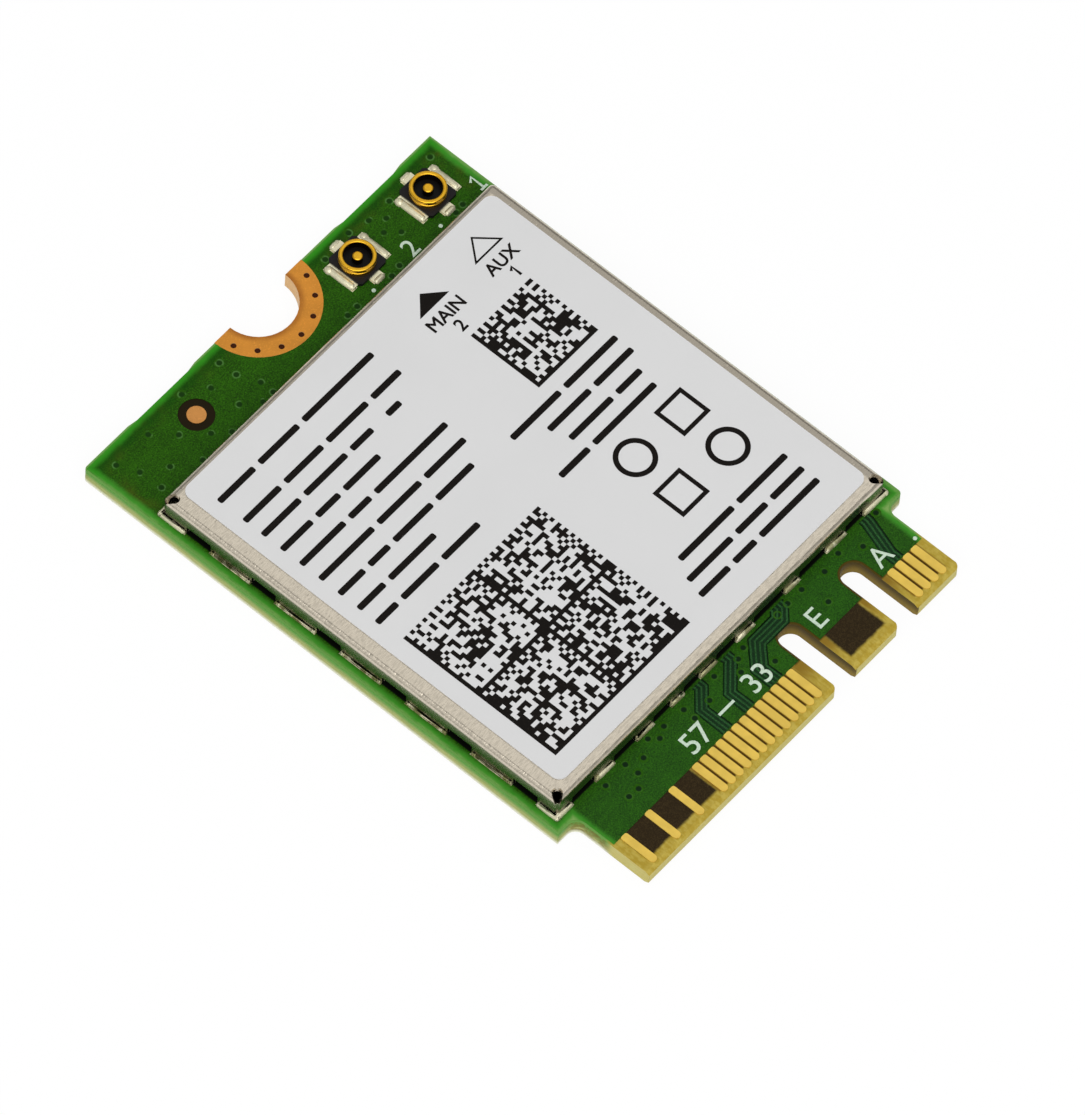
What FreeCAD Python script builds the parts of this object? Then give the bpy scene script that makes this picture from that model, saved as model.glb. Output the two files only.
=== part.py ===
"""Wireless network card of the 22 by 30 millimetre edge-plug size.

The card lies flat: X runs across it with contact 1 at +X, Y runs along it from the
edge plug at -Y to the mounting notch at +Y, and Z points up to the shielded face.
The origin is on the underside, in the middle of the 22 by 30 rectangle.
Sizes are in millimetres. A place given "from the edge" is measured along Y from the
leading edge of the plug.
"""
import FreeCAD
import Part
import Sketcher
import math
import os
import re

doc = FreeCAD.newDocument("wireless_card")

SIZES = (
    # Laminate board and its plug tongue
    ("board_length", 30.0, "length from leading edge to notch end"),
    ("laminate_thickness", 0.8, "bare laminate"),
    ("copper_thickness", 0.04, "plated copper on either face"),
    ("tongue_margin", 0.675, "side of the tongue beyond the middle of its outer contact"),
    ("tongue_length", 4.0, "shoulders from the edge"),
    ("shoulder_width", 1.075, "shoulder beside the tongue"),
    ("shoulder_radius", 0.5, "routed corner between tongue and shoulder"),
    ("trimmed_corner_radius", 0.22, "two diagonal outer corners"),
    ("tab_corner_radius", 0.22, "right-hand corner of each plug tab"),
    ("bevel_depth", 0.2, "plug bevel along the card"),
    ("bevel_height", 0.12, "plug bevel through the thickness"),
    ("key_slot_width", 1.2, "key slots"),
    ("key_slot_depth", 3.55, "key slots from the edge, with their round end"),
    ("panel_relief_width", 3.2, "shallow routed steps in the rear edge"),
    ("panel_relief_depth", 0.08, "how far those steps go in"),
    ("panel_relief_ramp", 0.5, "slope at either end of a step"),
    ("panel_relief_left_x", -6.1, "middle of the left step"),
    ("panel_relief_right_x", 6.95, "middle of the right step"),
    # Lacquer
    ("mask_thickness", 0.03, "lacquer on either face, a little below the copper"),
    ("mask_edge", 2.0, "front of the lacquer from the edge"),
    ("mask_pullback", 0.1, "bare border along routed edges"),
    # Contacts
    ("finger_width", 0.37, "one contact"),
    ("finger_corner", 0.1, "rounded corners at the lacquer"),
    ("finger_tip_margin", 0.02, "between a contact's round tip and the bevel"),
    ("finger_pitch", 0.5, "contacts of one face"),
    # Mounting notch and alignment dot
    ("notch_radius", 1.75, "screw notch inside its plating"),
    ("plating_thickness", 0.025, "copper in the notch"),
    ("ground_pad_width", 1.0, "copper pad round the notch"),
    ("stitch_inset", 0.33, "small holes from the outside of that pad"),
    ("stitch_hole_diameter", 0.26, "one such hole"),
    ("stitch_hole_step", 24.5, "angle between the holes, in degrees"),
    ("dot_x", -5.87, "alignment dot"),
    ("dot_from_rear", 1.75, "alignment dot"),
    ("dot_diameter", 0.84, "copper of the dot"),
    ("dot_clearance", 0.37, "bare laminate round the dot"),
    # Folded shield can
    ("can_left_margin", 0.55, "board left of the can"),
    ("can_right_margin", 0.53, "board right of the can"),
    ("can_front_margin", 0.55, "shoulders to the front wall"),
    ("rear_strip", 3.85, "board behind the can"),
    ("can_height", 1.2, "from the board to the lid"),
    ("can_sheet", 0.15, "sheet metal"),
    ("can_bend_radius", 0.25, "outside of the bent edges"),
    ("gap_height", 0.45, "gaps between the feet"),
    ("side_gap_width", 1.32, "gaps along the sides and the rear"),
    ("side_gap_front_inset", 1.725, "front wall to the middle of the first side gap"),
    ("side_gap_rear_inset", 2.025, "rear wall to the middle of the last side gap"),
    ("rear_gap_inset", 1.515, "side walls to the middle of the outer rear gaps"),
    ("corner_notch_width", 0.48, "relief at three corners of the lid"),
    ("corner_notch_reach", 0.74, "relief in from the sharp corner"),
    ("corner_notch_depth", 0.45, "relief down from the lid"),
    ("corner_notch_foot", 0.04, "relief where it runs out in the corner"),
    # Feet pads and solder
    ("foot_pad_outside", 0.12, "pad beyond the wall"),
    ("foot_pad_inside", 0.12, "pad within the wall"),
    ("solder_height", 0.2, "solder up the outside of a foot"),
    ("solder_lip", 0.02, "solder at its upper end"),
    # Label on the lid
    ("label_left_margin", 0.76, "lid left of the label"),
    ("label_right_margin", 0.5, "lid right of the label"),
    ("label_front_margin", 0.55, "lid in front of the label"),
    ("label_rear_margin", 0.34, "lid behind the label"),
    ("label_thickness", 0.06, "label"),
    ("label_corner_radius", 0.45, "label"),
    # Coaxial antenna receptacles
    ("antenna_main_x", 4.23, "receptacle next to the notch"),
    ("antenna_aux_inset", 2.26, "outer receptacle from the side of the board"),
    ("antenna_from_rear", 1.83, "both receptacles"),
    ("base_length", 1.88, "plastic base, along the card"),
    ("base_width", 1.7, "plastic base between the side tabs"),
    ("base_height", 0.18, "plastic base"),
    ("base_corner", 0.12, "bevelled corners of the base"),
    ("shell_radius", 0.81, "outside of the ring"),
    ("shell_wall", 0.19, "wall of the ring"),
    ("shell_height", 0.6, "ring above the board"),
    ("shell_rim", 0.06, "rounding of the ring's rim"),
    ("snap_groove_height", 0.38, "middle of the snap groove"),
    ("snap_groove_depth", 0.03, "snap groove"),
    ("tab_thickness", 0.1, "sheet of the solder tabs"),
    ("tab_reach", 1.2, "ends of the tabs from the middle"),
    ("tab_width", 1.56, "side tabs"),
    ("tab_notch_width", 0.75, "notch in the outer edge of a side tab"),
    ("tab_notch_depth", 0.14, "notch in the outer edge of a side tab"),
    ("lead_width", 0.58, "signal lead and rear tab"),
    ("lead_thickness", 0.06, "sheet of the signal lead"),
    ("lead_clearance", 0.1, "between the lead and the shell"),
    ("pin_radius", 0.235, "centre pin"),
    ("pin_height", 0.55, "centre pin above the board"),
    ("pin_round", 0.08, "rounding of the pin"),
    ("tab_pad_margin", 0.04, "copper beyond a tab"),
    # Circuit under the can
    ("chip_width", 8.5, "radio chip package"),
    ("chip_forward", 1.75, "radio chip in front of the can's middle"),
    ("chip_height", 0.7, "radio chip package"),
    ("ball_diameter", 0.5, "solder balls"),
    ("ball_height", 0.16, "solder balls under the chip"),
    ("ball_pitch", 1.1, "solder balls"),
    ("thermal_pad_width", 7.0, "soft pad between chip and lid"),
    ("module_width", 3.0, "front-end modules"),
    ("module_height", 0.65, "front-end modules"),
    ("module_inset", 2.95, "front-end modules from the can's rear wall"),
    ("module_shift", 0.9, "module left of its receptacle"),
    ("crystal_length", 2.5, "reference crystal"),
    ("crystal_width", 2.0, "reference crystal"),
    ("crystal_height", 0.55, "reference crystal"),
    ("memory_length", 3.0, "settings memory"),
    ("memory_width", 2.0, "settings memory"),
    ("memory_height", 0.6, "settings memory"),
    ("memory_inset", 4.45, "settings memory from the can's front wall"),
    ("regulator_width", 2.0, "voltage regulator"),
    ("regulator_height", 0.75, "voltage regulator"),
    ("regulator_shift", 2.0, "voltage regulator behind the chip's middle"),
    ("inductor_length", 2.5, "power inductors"),
    ("inductor_width", 2.0, "power inductors"),
    ("inductor_height", 0.9, "power inductors"),
    ("inductor_pitch", 3.0, "power inductors"),
    ("inductor_inset", 4.25, "first power inductor from the can's front wall"),
    ("filter_length", 1.6, "band filters"),
    ("filter_width", 0.8, "band filters"),
    ("filter_height", 0.6, "band filters"),
    ("filter_pitch", 2.4, "band filters"),
    ("filter_clearance", 1.35, "chip to band filters"),
    ("passive_length", 1.0, "capacitors and resistors"),
    ("passive_width", 0.5, "capacitors and resistors"),
    ("passive_column_pitch", 1.4, "capacitors and resistors"),
    ("passive_row_pitch", 0.85, "capacitors and resistors"),
    ("capacitor_height", 0.5, "capacitors"),
    ("capacitor_x", -7.0, "first capacitor"),
    ("capacitor_inset", 1.35, "first row of capacitors from the can's front wall"),
    ("resistor_height", 0.35, "resistors"),
    ("resistor_x", -8.5, "first resistor"),
    ("resistor_inset", 5.15, "first row of resistors from the can's rear wall"),
    ("end_cap_length", 0.25, "metal ends of capacitors and resistors"),
    ("end_cap_skin", 0.02, "metal ends beyond the body"),
    ("package_bevel", 0.08, "upper edges of moulded packages"),
    ("left_column_x", -7.2, "parts left of the chip"),
    ("right_column_x", 7.2, "parts right of the chip"),
)

# Gaps between the feet of the front wall, each over the tracks of some contacts: its
# middle in contact pitches from contact 1, then its width.
FRONT_GAPS = (
    (36.1, 1.4),
    (30.86, 1.35),
    (26.16, 1.05),
    (22.4, 0.95),
    (18.0, 1.2),
    (12.5, 1.9),
    (6.94, 1.65),
    (1.54, 1.1),
)
SIDE_GAP_COUNT = 6

# Contacts 1 to 75 of the upper face span this many pitches. Each key slot takes the
# place of contacts: its middle is given in pitches from contact 1.
CONTACT_STEPS = 37
INNER_KEY_STEPS = 13.25
OUTER_KEY_STEPS = 5.25

# Sizes and places that follow from others. "From edge" is along Y from the leading edge.
DERIVED = (
    ("tongue_width", f"{CONTACT_STEPS} * finger_pitch + 2 * tongue_margin"),
    ("board_width", "tongue_width + 2 * shoulder_width"),
    ("first_contact_x", "tongue_width / 2 - tongue_margin"),
    ("inner_key_x", f"first_contact_x - {INNER_KEY_STEPS} * finger_pitch"),
    ("outer_key_x", f"first_contact_x - {OUTER_KEY_STEPS} * finger_pitch"),
    ("finger_length", "mask_edge - bevel_depth - finger_tip_margin"),
    ("ground_pad_radius", "notch_radius + ground_pad_width"),
    ("dot_from_edge", "board_length - dot_from_rear"),
    ("dot_opening", "dot_diameter + 2 * dot_clearance"),
    ("can_front", "tongue_length + can_front_margin"),
    ("can_width", "board_width - can_left_margin - can_right_margin"),
    ("can_length", "board_length - can_front - rear_strip"),
    ("can_rear", "can_front + can_length"),
    ("can_x", "(can_left_margin - can_right_margin) / 2"),
    ("side_gap_first", "can_front + side_gap_front_inset"),
    ("side_gap_span", "can_length - side_gap_front_inset - side_gap_rear_inset"),
    ("rear_gap_first", "can_x - can_width / 2 + rear_gap_inset"),
    ("rear_gap_span", "can_width - 2 * rear_gap_inset"),
    ("corner_notch_taper", "atan((corner_notch_width - corner_notch_foot) / 2 / corner_notch_depth)"),
    ("label_width", "can_width - label_left_margin - label_right_margin"),
    ("label_length", "can_length - label_front_margin - label_rear_margin"),
    ("label_x", "can_x + (label_left_margin - label_right_margin) / 2"),
    ("label_from_edge", "can_front + (can_length + label_front_margin - label_rear_margin) / 2"),
    ("antenna_aux_x", "board_width / 2 - antenna_aux_inset"),
    ("antenna_from_edge", "board_length - antenna_from_rear"),
    ("shell_bore", "shell_radius - shell_wall"),
    ("chip_from_edge", "can_front + can_length / 2 - chip_forward"),
    ("regulator_from_edge", "chip_from_edge + regulator_shift"),
    ("filter_from_edge", "chip_from_edge + (chip_width + filter_width) / 2 + filter_clearance"),
    ("module_from_edge", "can_rear - module_inset"),
    ("memory_from_edge", "can_front + memory_inset"),
    ("inductor_from_edge", "can_front + inductor_inset"),
    ("capacitor_from_edge", "can_front + capacitor_inset"),
    ("resistor_from_edge", "can_rear - resistor_inset"),
)

# First contact, how many follow at an even step, and the step in contact numbers.
TOP_CONTACTS = ((1, 4, 2), (33, 13, 2), (63, 3, 6))
BOTTOM_CONTACTS = ((2, 3, 2), (16, 4, 2), (32, 22, 2))

STITCH_HOLES = 7
BALL_ROWS = 6
FILTER_COUNT = 3
INDUCTOR_COUNT = 2
CAPACITOR_COLUMNS = 11
RESISTOR_COLUMNS = 6
PASSIVE_ROWS = 2

# Heights of the laminate's two faces, of the upper copper and of the upper lacquer.
LAMINATE_LOWER = "copper_thickness"
LAMINATE_UPPER = "copper_thickness + laminate_thickness"
TOP_FACE = "2 * copper_thickness + laminate_thickness"
MASK_FACE = "copper_thickness + laminate_thickness + mask_thickness"
LEADING_EDGE = "-board_length / 2"

# Two places closer than this count as one when edges and faces are picked out.
NEAR = 1e-5

sheet = doc.addObject("Spreadsheet::Sheet", "sizes")
nodes = []


def fill_sheet():
    """Write every driving size into an aliased cell."""
    rows = list(SIZES)
    for number, (steps, width) in enumerate(FRONT_GAPS, start=1):
        rows.append((f"front_gap_{number}_steps", steps, "middle of a front gap, in pitches"))
        rows.append((f"front_gap_{number}_width", width, "width of a front gap"))
    rows.extend((alias, f"={formula}", "follows from others") for alias, formula in DERIVED)
    for row, (alias, value, meaning) in enumerate(rows, start=1):
        sheet.set(f"A{row}", meaning)
        sheet.setAlias(f"B{row}", alias)
    for row, (alias, value, meaning) in enumerate(rows, start=1):
        sheet.set(f"B{row}", str(value))
    doc.recompute()


def size(alias):
    """The number in an aliased cell."""
    return float(getattr(sheet, alias))


def bind(item, path, formula):
    """Tie a property to the sheet. The words of the formula are aliases."""
    item.setExpression(path, re.sub(r"[a-z]\w*", r"sizes.\g<0>", formula))


def from_edge(alias):
    """Y of a place that is measured from the leading edge."""
    return f"{alias} - board_length / 2"


def keep(item, label):
    """Name a finished piece."""
    item.Label = label
    nodes.append(item)
    return item


def new_body(name):
    body = doc.addObject("PartDesign::Body", name)
    body.AllowCompound = True
    return body


def plane(body, role):
    """One of the body's three reference planes."""
    return next(item for item in body.Origin.OriginFeatures if item.Role == role)


def new_sketch(body, name, x="0", y="0", z="0", role="XY_Plane", turn=0.0):
    """A sketch on a reference plane, moved by formulas in the plane's own axes."""
    sketch = body.newObject("Sketcher::SketchObject", name)
    sketch.AttachmentSupport = [(plane(body, role), "")]
    sketch.MapMode = "FlatFace"
    spin = FreeCAD.Rotation(FreeCAD.Vector(0, 0, 1), turn)
    sketch.AttachmentOffset = FreeCAD.Placement(FreeCAD.Vector(), spin)
    for axis, formula in (("x", x), ("y", y), ("z", z)):
        bind(sketch, f"AttachmentOffset.Base.{axis}", formula)
    return sketch


def constrain(sketch, kind, items, formula, start=1.0):
    """Add a dimension that follows a formula, and starts near what is drawn."""
    index = sketch.addConstraint(Sketcher.Constraint(kind, *items, start))
    bind(sketch, f"Constraints[{index}]", formula)


def draw_outline(sketch, corners):
    """A closed outline of straight edges through corners given as formulas."""
    count = len(corners)
    first = sketch.GeometryCount
    spread = [(FreeCAD.Vector(step % 3, step // 3, 0)) for step in range(count + 1)]
    for step in range(count):
        sketch.addGeometry(Part.LineSegment(spread[step], spread[step + 1]), False)
    for step in range(count):
        here = first + step
        after = first + (step + 1) % count
        sketch.addConstraint(Sketcher.Constraint("Coincident", here, 2, after, 1))
    for step, (x, y) in enumerate(corners):
        constrain(sketch, "DistanceX", (-1, 1, first + step, 1), x)
        constrain(sketch, "DistanceY", (-1, 1, first + step, 1), y)


def draw_rectangle(sketch, width, height, x="0", y="0"):
    """A rectangle about a middle point."""
    left = f"{x} - ({width}) / 2"
    right = f"{x} + ({width}) / 2"
    low = f"{y} - ({height}) / 2"
    high = f"{y} + ({height}) / 2"
    draw_outline(sketch, ((left, low), (right, low), (right, high), (left, high)))


def draw_circle(sketch, radius, y="0"):
    """A circle on the sketch's upright axis."""
    circle = Part.Circle(FreeCAD.Vector(), FreeCAD.Vector(0, 0, 1), 1.0)
    index = sketch.addGeometry(circle, False)
    constrain(sketch, "DistanceX", (-1, 1, index, 3), "0")
    constrain(sketch, "DistanceY", (-1, 1, index, 3), y)
    constrain(sketch, "Radius", (index,), radius)


def draw_round_end(sketch, width, reach):
    """A strip that starts square at the sketch's origin and ends in a half circle."""
    start = FreeCAD.Vector(-1, 0, 0)
    left = FreeCAD.Vector(-1, 2, 0)
    right = FreeCAD.Vector(1, 2, 0)
    end = FreeCAD.Vector(1, 0, 0)
    top = FreeCAD.Vector(0, 3, 0)
    sketch.addGeometry(Part.LineSegment(start, left), False)
    sketch.addGeometry(Part.Arc(left, top, right), False)
    sketch.addGeometry(Part.LineSegment(right, end), False)
    sketch.addGeometry(Part.LineSegment(end, start), False)
    sketch.addConstraint(Sketcher.Constraint("Vertical", 0))
    sketch.addConstraint(Sketcher.Constraint("Vertical", 2))
    sketch.addConstraint(Sketcher.Constraint("Horizontal", 3))
    sketch.addConstraint(Sketcher.Constraint("Tangent", 0, 2, 1, 2))
    sketch.addConstraint(Sketcher.Constraint("Tangent", 1, 1, 2, 1))
    sketch.addConstraint(Sketcher.Constraint("Coincident", 2, 2, 3, 1))
    sketch.addConstraint(Sketcher.Constraint("Coincident", 3, 2, 0, 1))
    sketch.addConstraint(Sketcher.Constraint("Symmetric", 3, 1, 3, 2, -1, 1))
    constrain(sketch, "DistanceX", (3, 2, 3, 1), width)
    constrain(sketch, "DistanceY", (-1, 1, 1, 3), f"{reach} - ({width}) / 2")


def draw_finger(sketch):
    """A contact: rounded corners at the sketch's origin and a half-round tip."""
    half = size("finger_width") / 2
    corner = size("finger_corner")
    straight = size("finger_length") - half
    upward = FreeCAD.Vector(0, 0, 1)
    tip = Part.Circle(FreeCAD.Vector(0, straight, 0), upward, half)
    right = Part.Circle(FreeCAD.Vector(half - corner, corner, 0), upward, corner)
    left = Part.Circle(FreeCAD.Vector(corner - half, corner, 0), upward, corner)
    sketch.addGeometry([
        Part.LineSegment(FreeCAD.Vector(-half, corner, 0), FreeCAD.Vector(-half, straight, 0)),
        Part.ArcOfCircle(tip, 0.0, math.pi),
        Part.LineSegment(FreeCAD.Vector(half, straight, 0), FreeCAD.Vector(half, corner, 0)),
        Part.ArcOfCircle(right, -math.pi / 2, 0.0),
        Part.LineSegment(FreeCAD.Vector(half - corner, 0, 0), FreeCAD.Vector(corner - half, 0, 0)),
        Part.ArcOfCircle(left, math.pi, 1.5 * math.pi),
    ], False)
    joints = ((0, 2, 1, 2), (1, 1, 2, 1), (2, 2, 3, 2), (3, 1, 4, 1), (4, 2, 5, 2), (5, 1, 0, 1))
    for joint in joints:
        sketch.addConstraint(Sketcher.Constraint("Tangent", *joint))
    sketch.addConstraint(Sketcher.Constraint("Vertical", 0))
    sketch.addConstraint(Sketcher.Constraint("Horizontal", 4))
    sketch.addConstraint(Sketcher.Constraint("Equal", 3, 5))
    constrain(sketch, "Radius", (3,), "finger_corner", corner)
    constrain(sketch, "DistanceX", (0, 1, 2, 2), "finger_width", 2 * half)
    constrain(sketch, "DistanceX", (-1, 1, 1, 3), "0", 0.0)
    constrain(sketch, "DistanceY", (-1, 1, 1, 3), "finger_length - finger_width / 2", straight)
    constrain(sketch, "DistanceY", (-1, 1, 4, 1), "0", 0.0)


def pad(body, sketch, height):
    feature = body.newObject("PartDesign::Pad", "pad")
    feature.Profile = sketch
    bind(feature, "Length", height)
    return feature


def pocket(body, sketch, depth=None, forward=False):
    """Cut along the sketch's normal, or against it, to a depth or right through."""
    feature = body.newObject("PartDesign::Pocket", "pocket")
    feature.Profile = sketch
    feature.Reversed = forward
    if depth is None:
        feature.Type = "ThroughAll"
    else:
        bind(feature, "Length", depth)
    return feature


def row(body, feature, axis, span, count):
    """Repeat a feature in a straight row over a span."""
    pattern = body.newObject("PartDesign::LinearPattern", "row")
    pattern.Originals = [feature]
    pattern.Direction = axis
    bind(pattern, "Length", span)
    pattern.Occurrences = count
    body.Tip = pattern
    return pattern


def grid(body, features, sketch, columns, rows):
    """Repeat features in columns and rows, each given as a count and a pitch."""
    pattern = body.newObject("PartDesign::LinearPattern", "grid")
    pattern.Originals = features
    pattern.Direction = (sketch, ["H_Axis"])
    bind(pattern, "Length", f"{columns[0] - 1} * {columns[1]}")
    pattern.Occurrences = columns[0]
    pattern.Direction2 = (sketch, ["V_Axis"])
    bind(pattern, "Length2", f"{rows[0] - 1} * {rows[1]}")
    pattern.Occurrences2 = rows[0]
    body.Tip = pattern


def mirror(body, feature, role="YZ_Plane"):
    image = body.newObject("PartDesign::Mirrored", "mirror")
    image.Originals = [feature]
    image.MirrorPlane = (plane(body, role), [""])
    body.Tip = image
    return image


def picked_edges(body, chosen):
    """The body so far and the names of those of its edges that a test picks out."""
    doc.recompute()
    edges = enumerate(body.Tip.Shape.Edges, start=1)
    return body.Tip, [f"Edge{number}" for number, edge in edges if chosen(edge)]


def round_edges(body, chosen, radius):
    picked = picked_edges(body, chosen)
    feature = body.newObject("PartDesign::Fillet", "rounding")
    feature.Base = picked
    bind(feature, "Radius", radius)


def bevel_edges(body, chosen, reach):
    picked = picked_edges(body, chosen)
    feature = body.newObject("PartDesign::Chamfer", "bevel")
    feature.Base = picked
    bind(feature, "Size", reach)


def upright(edge):
    return edge.BoundBox.XLength + edge.BoundBox.YLength < NEAR


def upright_at(places):
    """A test for upright edges that stand at one of the given places."""
    def chosen(edge):
        box = edge.BoundBox
        return upright(edge) and any(
            abs(box.XMin - x) + abs(box.YMin - y) < NEAR for x, y in places)
    return chosen


def level_at(height):
    """A test for edges that lie level at a height."""
    def chosen(edge):
        return max(abs(edge.BoundBox.ZMin - height), abs(edge.BoundBox.ZMax - height)) < NEAR
    return chosen


def card_plate(body, lower, thickness, front, inset, opening):
    """The card's plan with its shoulders, key slots and notch, drawn in by an inset."""
    plan = new_sketch(body, "plan", y=f"({front} - {inset}) / 2", z=lower)
    draw_rectangle(plan, f"board_width - 2 * {inset}", f"board_length - {front} - {inset}")
    pad(body, plan, thickness)
    across = f"((board_width - tongue_width) / 2 + {inset})"
    along = f"(tongue_length + {inset})"
    upper = f"{lower} + {thickness}"
    shoulder = new_sketch(body, "shoulder", z=upper)
    draw_rectangle(shoulder, across, along, f"board_width / 2 - {across} / 2",
                   f"{LEADING_EDGE} + {along} / 2")
    mirror(body, pocket(body, shoulder))
    key = new_sketch(body, "key", x="inner_key_x", y=LEADING_EDGE, z=upper)
    draw_round_end(key, f"key_slot_width + 2 * {inset}", f"key_slot_depth + {inset}")
    row(body, pocket(body, key), (key, ["H_Axis"]), "outer_key_x - inner_key_x", 2)
    notch = new_sketch(body, "notch", y="board_length / 2", z=upper)
    draw_circle(notch, opening)
    pocket(body, notch)


def make_board():
    """Laminate with routed corners, rear steps and the bevelled plug edge."""
    body = new_body("laminate")
    card_plate(body, LAMINATE_LOWER, "laminate_thickness", "0", "0",
               "notch_radius + plating_thickness")
    half_width = size("board_width") / 2
    half_length = size("board_length") / 2
    half_tongue = size("tongue_width") / 2
    half_key = size("key_slot_width") / 2
    shoulder_y = size("tongue_length") - half_length
    round_edges(body, upright_at([(-half_tongue, shoulder_y), (half_tongue, shoulder_y)]),
                "shoulder_radius")
    round_edges(body, upright_at([(-half_width, half_length), (half_width, shoulder_y)]),
                "trimmed_corner_radius")
    tab_ends = (size("inner_key_x") - half_key, size("outer_key_x") - half_key, half_tongue)
    round_edges(body, upright_at([(x, -half_length) for x in tab_ends]), "tab_corner_radius")
    for middle in ("panel_relief_left_x", "panel_relief_right_x"):
        step = new_sketch(body, "step", z=LAMINATE_UPPER)
        half_floor = "panel_relief_width / 2"
        half_mouth = "(panel_relief_width / 2 + 2 * panel_relief_ramp)"
        draw_outline(step, (
            (f"{middle} - {half_floor}", "board_length / 2 - panel_relief_depth"),
            (f"{middle} + {half_floor}", "board_length / 2 - panel_relief_depth"),
            (f"{middle} + {half_mouth}", "board_length / 2 + panel_relief_depth"),
            (f"{middle} - {half_mouth}", "board_length / 2 + panel_relief_depth"),
        ))
        pocket(body, step)
    for face, inward in ((LAMINATE_LOWER, "+"), (LAMINATE_UPPER, "-")):
        bevel = new_sketch(body, "bevel", role="YZ_Plane")
        draw_outline(bevel, (
            (LEADING_EDGE, face),
            (f"{LEADING_EDGE} + bevel_depth", face),
            (LEADING_EDGE, f"{face} {inward} bevel_height"),
        ))
        cut = pocket(body, bevel)
        cut.SideType = "Symmetric"
    keep(body, "circuit_board")


def make_fingers(label, blocks, lower):
    """Contacts of one face, each with a round tip towards the leading edge."""
    body = new_body("fingers")
    for first, count, step in blocks:
        place = f"first_contact_x - {(first - 1) / 2} * finger_pitch"
        finger = new_sketch(body, "finger", place, from_edge("mask_edge"), lower, turn=180.0)
        draw_finger(finger)
        span = f"{(count - 1) * step / 2} * finger_pitch"
        row(body, pad(body, finger, "copper_thickness"), (finger, ["H_Axis"]), span, count)
    keep(body, label)


def make_ground_ring():
    """Plated half hole: a barrel with a copper pad on either face."""
    body = new_body("plating")
    bind(body, "Placement.Base.y", "board_length / 2")
    profile = new_sketch(body, "profile", role="XZ_Plane")
    barrel = "notch_radius + plating_thickness"
    draw_outline(profile, (
        ("notch_radius", "0"),
        ("ground_pad_radius", "0"),
        ("ground_pad_radius", LAMINATE_LOWER),
        (barrel, LAMINATE_LOWER),
        (barrel, LAMINATE_UPPER),
        ("ground_pad_radius", LAMINATE_UPPER),
        ("ground_pad_radius", TOP_FACE),
        ("notch_radius", TOP_FACE),
    ))
    turned = body.newObject("PartDesign::Revolution", "half_turn")
    turned.Profile = profile
    turned.ReferenceAxis = (profile, ["V_Axis"])
    turned.Angle = 180.0
    turned.Reversed = True
    middle = (STITCH_HOLES - 1) / 2
    hole = new_sketch(body, "hole", z=TOP_FACE, turn=-middle * size("stitch_hole_step"))
    draw_circle(hole, "stitch_hole_diameter / 2", "stitch_inset - ground_pad_radius")
    drilled = pocket(body, hole)
    ring = body.newObject("PartDesign::PolarPattern", "ring")
    ring.Originals = [drilled]
    ring.Axis = (hole, ["N_Axis"])
    bind(ring, "Angle", f"{STITCH_HOLES - 1} * stitch_hole_step")
    ring.Occurrences = STITCH_HOLES
    body.Tip = ring
    keep(body, "mounting_ground_ring")


def make_dot(diameter):
    """A round spot on the upper face of the laminate."""
    body = new_body("dot")
    spot = new_sketch(body, "spot", "dot_x", from_edge("dot_from_edge"), LAMINATE_UPPER)
    draw_circle(spot, f"{diameter} / 2")
    pad(body, spot, "copper_thickness")
    return body


def even_gaps(first, span):
    """Middle and width of each gap in an even row."""
    steps = SIDE_GAP_COUNT - 1
    places = [f"{first} + {span} * {step} / {steps}" for step in range(SIDE_GAP_COUNT)]
    return [(place, "side_gap_width") for place in places]


def side_gaps():
    """The gaps along a side wall, from front to rear."""
    return even_gaps(from_edge("side_gap_first"), "side_gap_span")


def rear_gaps():
    """The gaps along the rear wall, from left to right."""
    return even_gaps("rear_gap_first", "rear_gap_span")


def front_gaps():
    """The gaps along the front wall, from left to right."""
    numbers = range(1, len(FRONT_GAPS) + 1)
    return [(f"first_contact_x - front_gap_{number}_steps * finger_pitch",
             f"front_gap_{number}_width") for number in numbers]


CAN_LEFT = "can_x - can_width / 2"
CAN_RIGHT = "can_x + can_width / 2"
CAN_FRONT = "can_front - board_length / 2"
CAN_REAR = "can_rear - board_length / 2"
CAN_MIDDLE = "can_front + can_length / 2 - board_length / 2"


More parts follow.
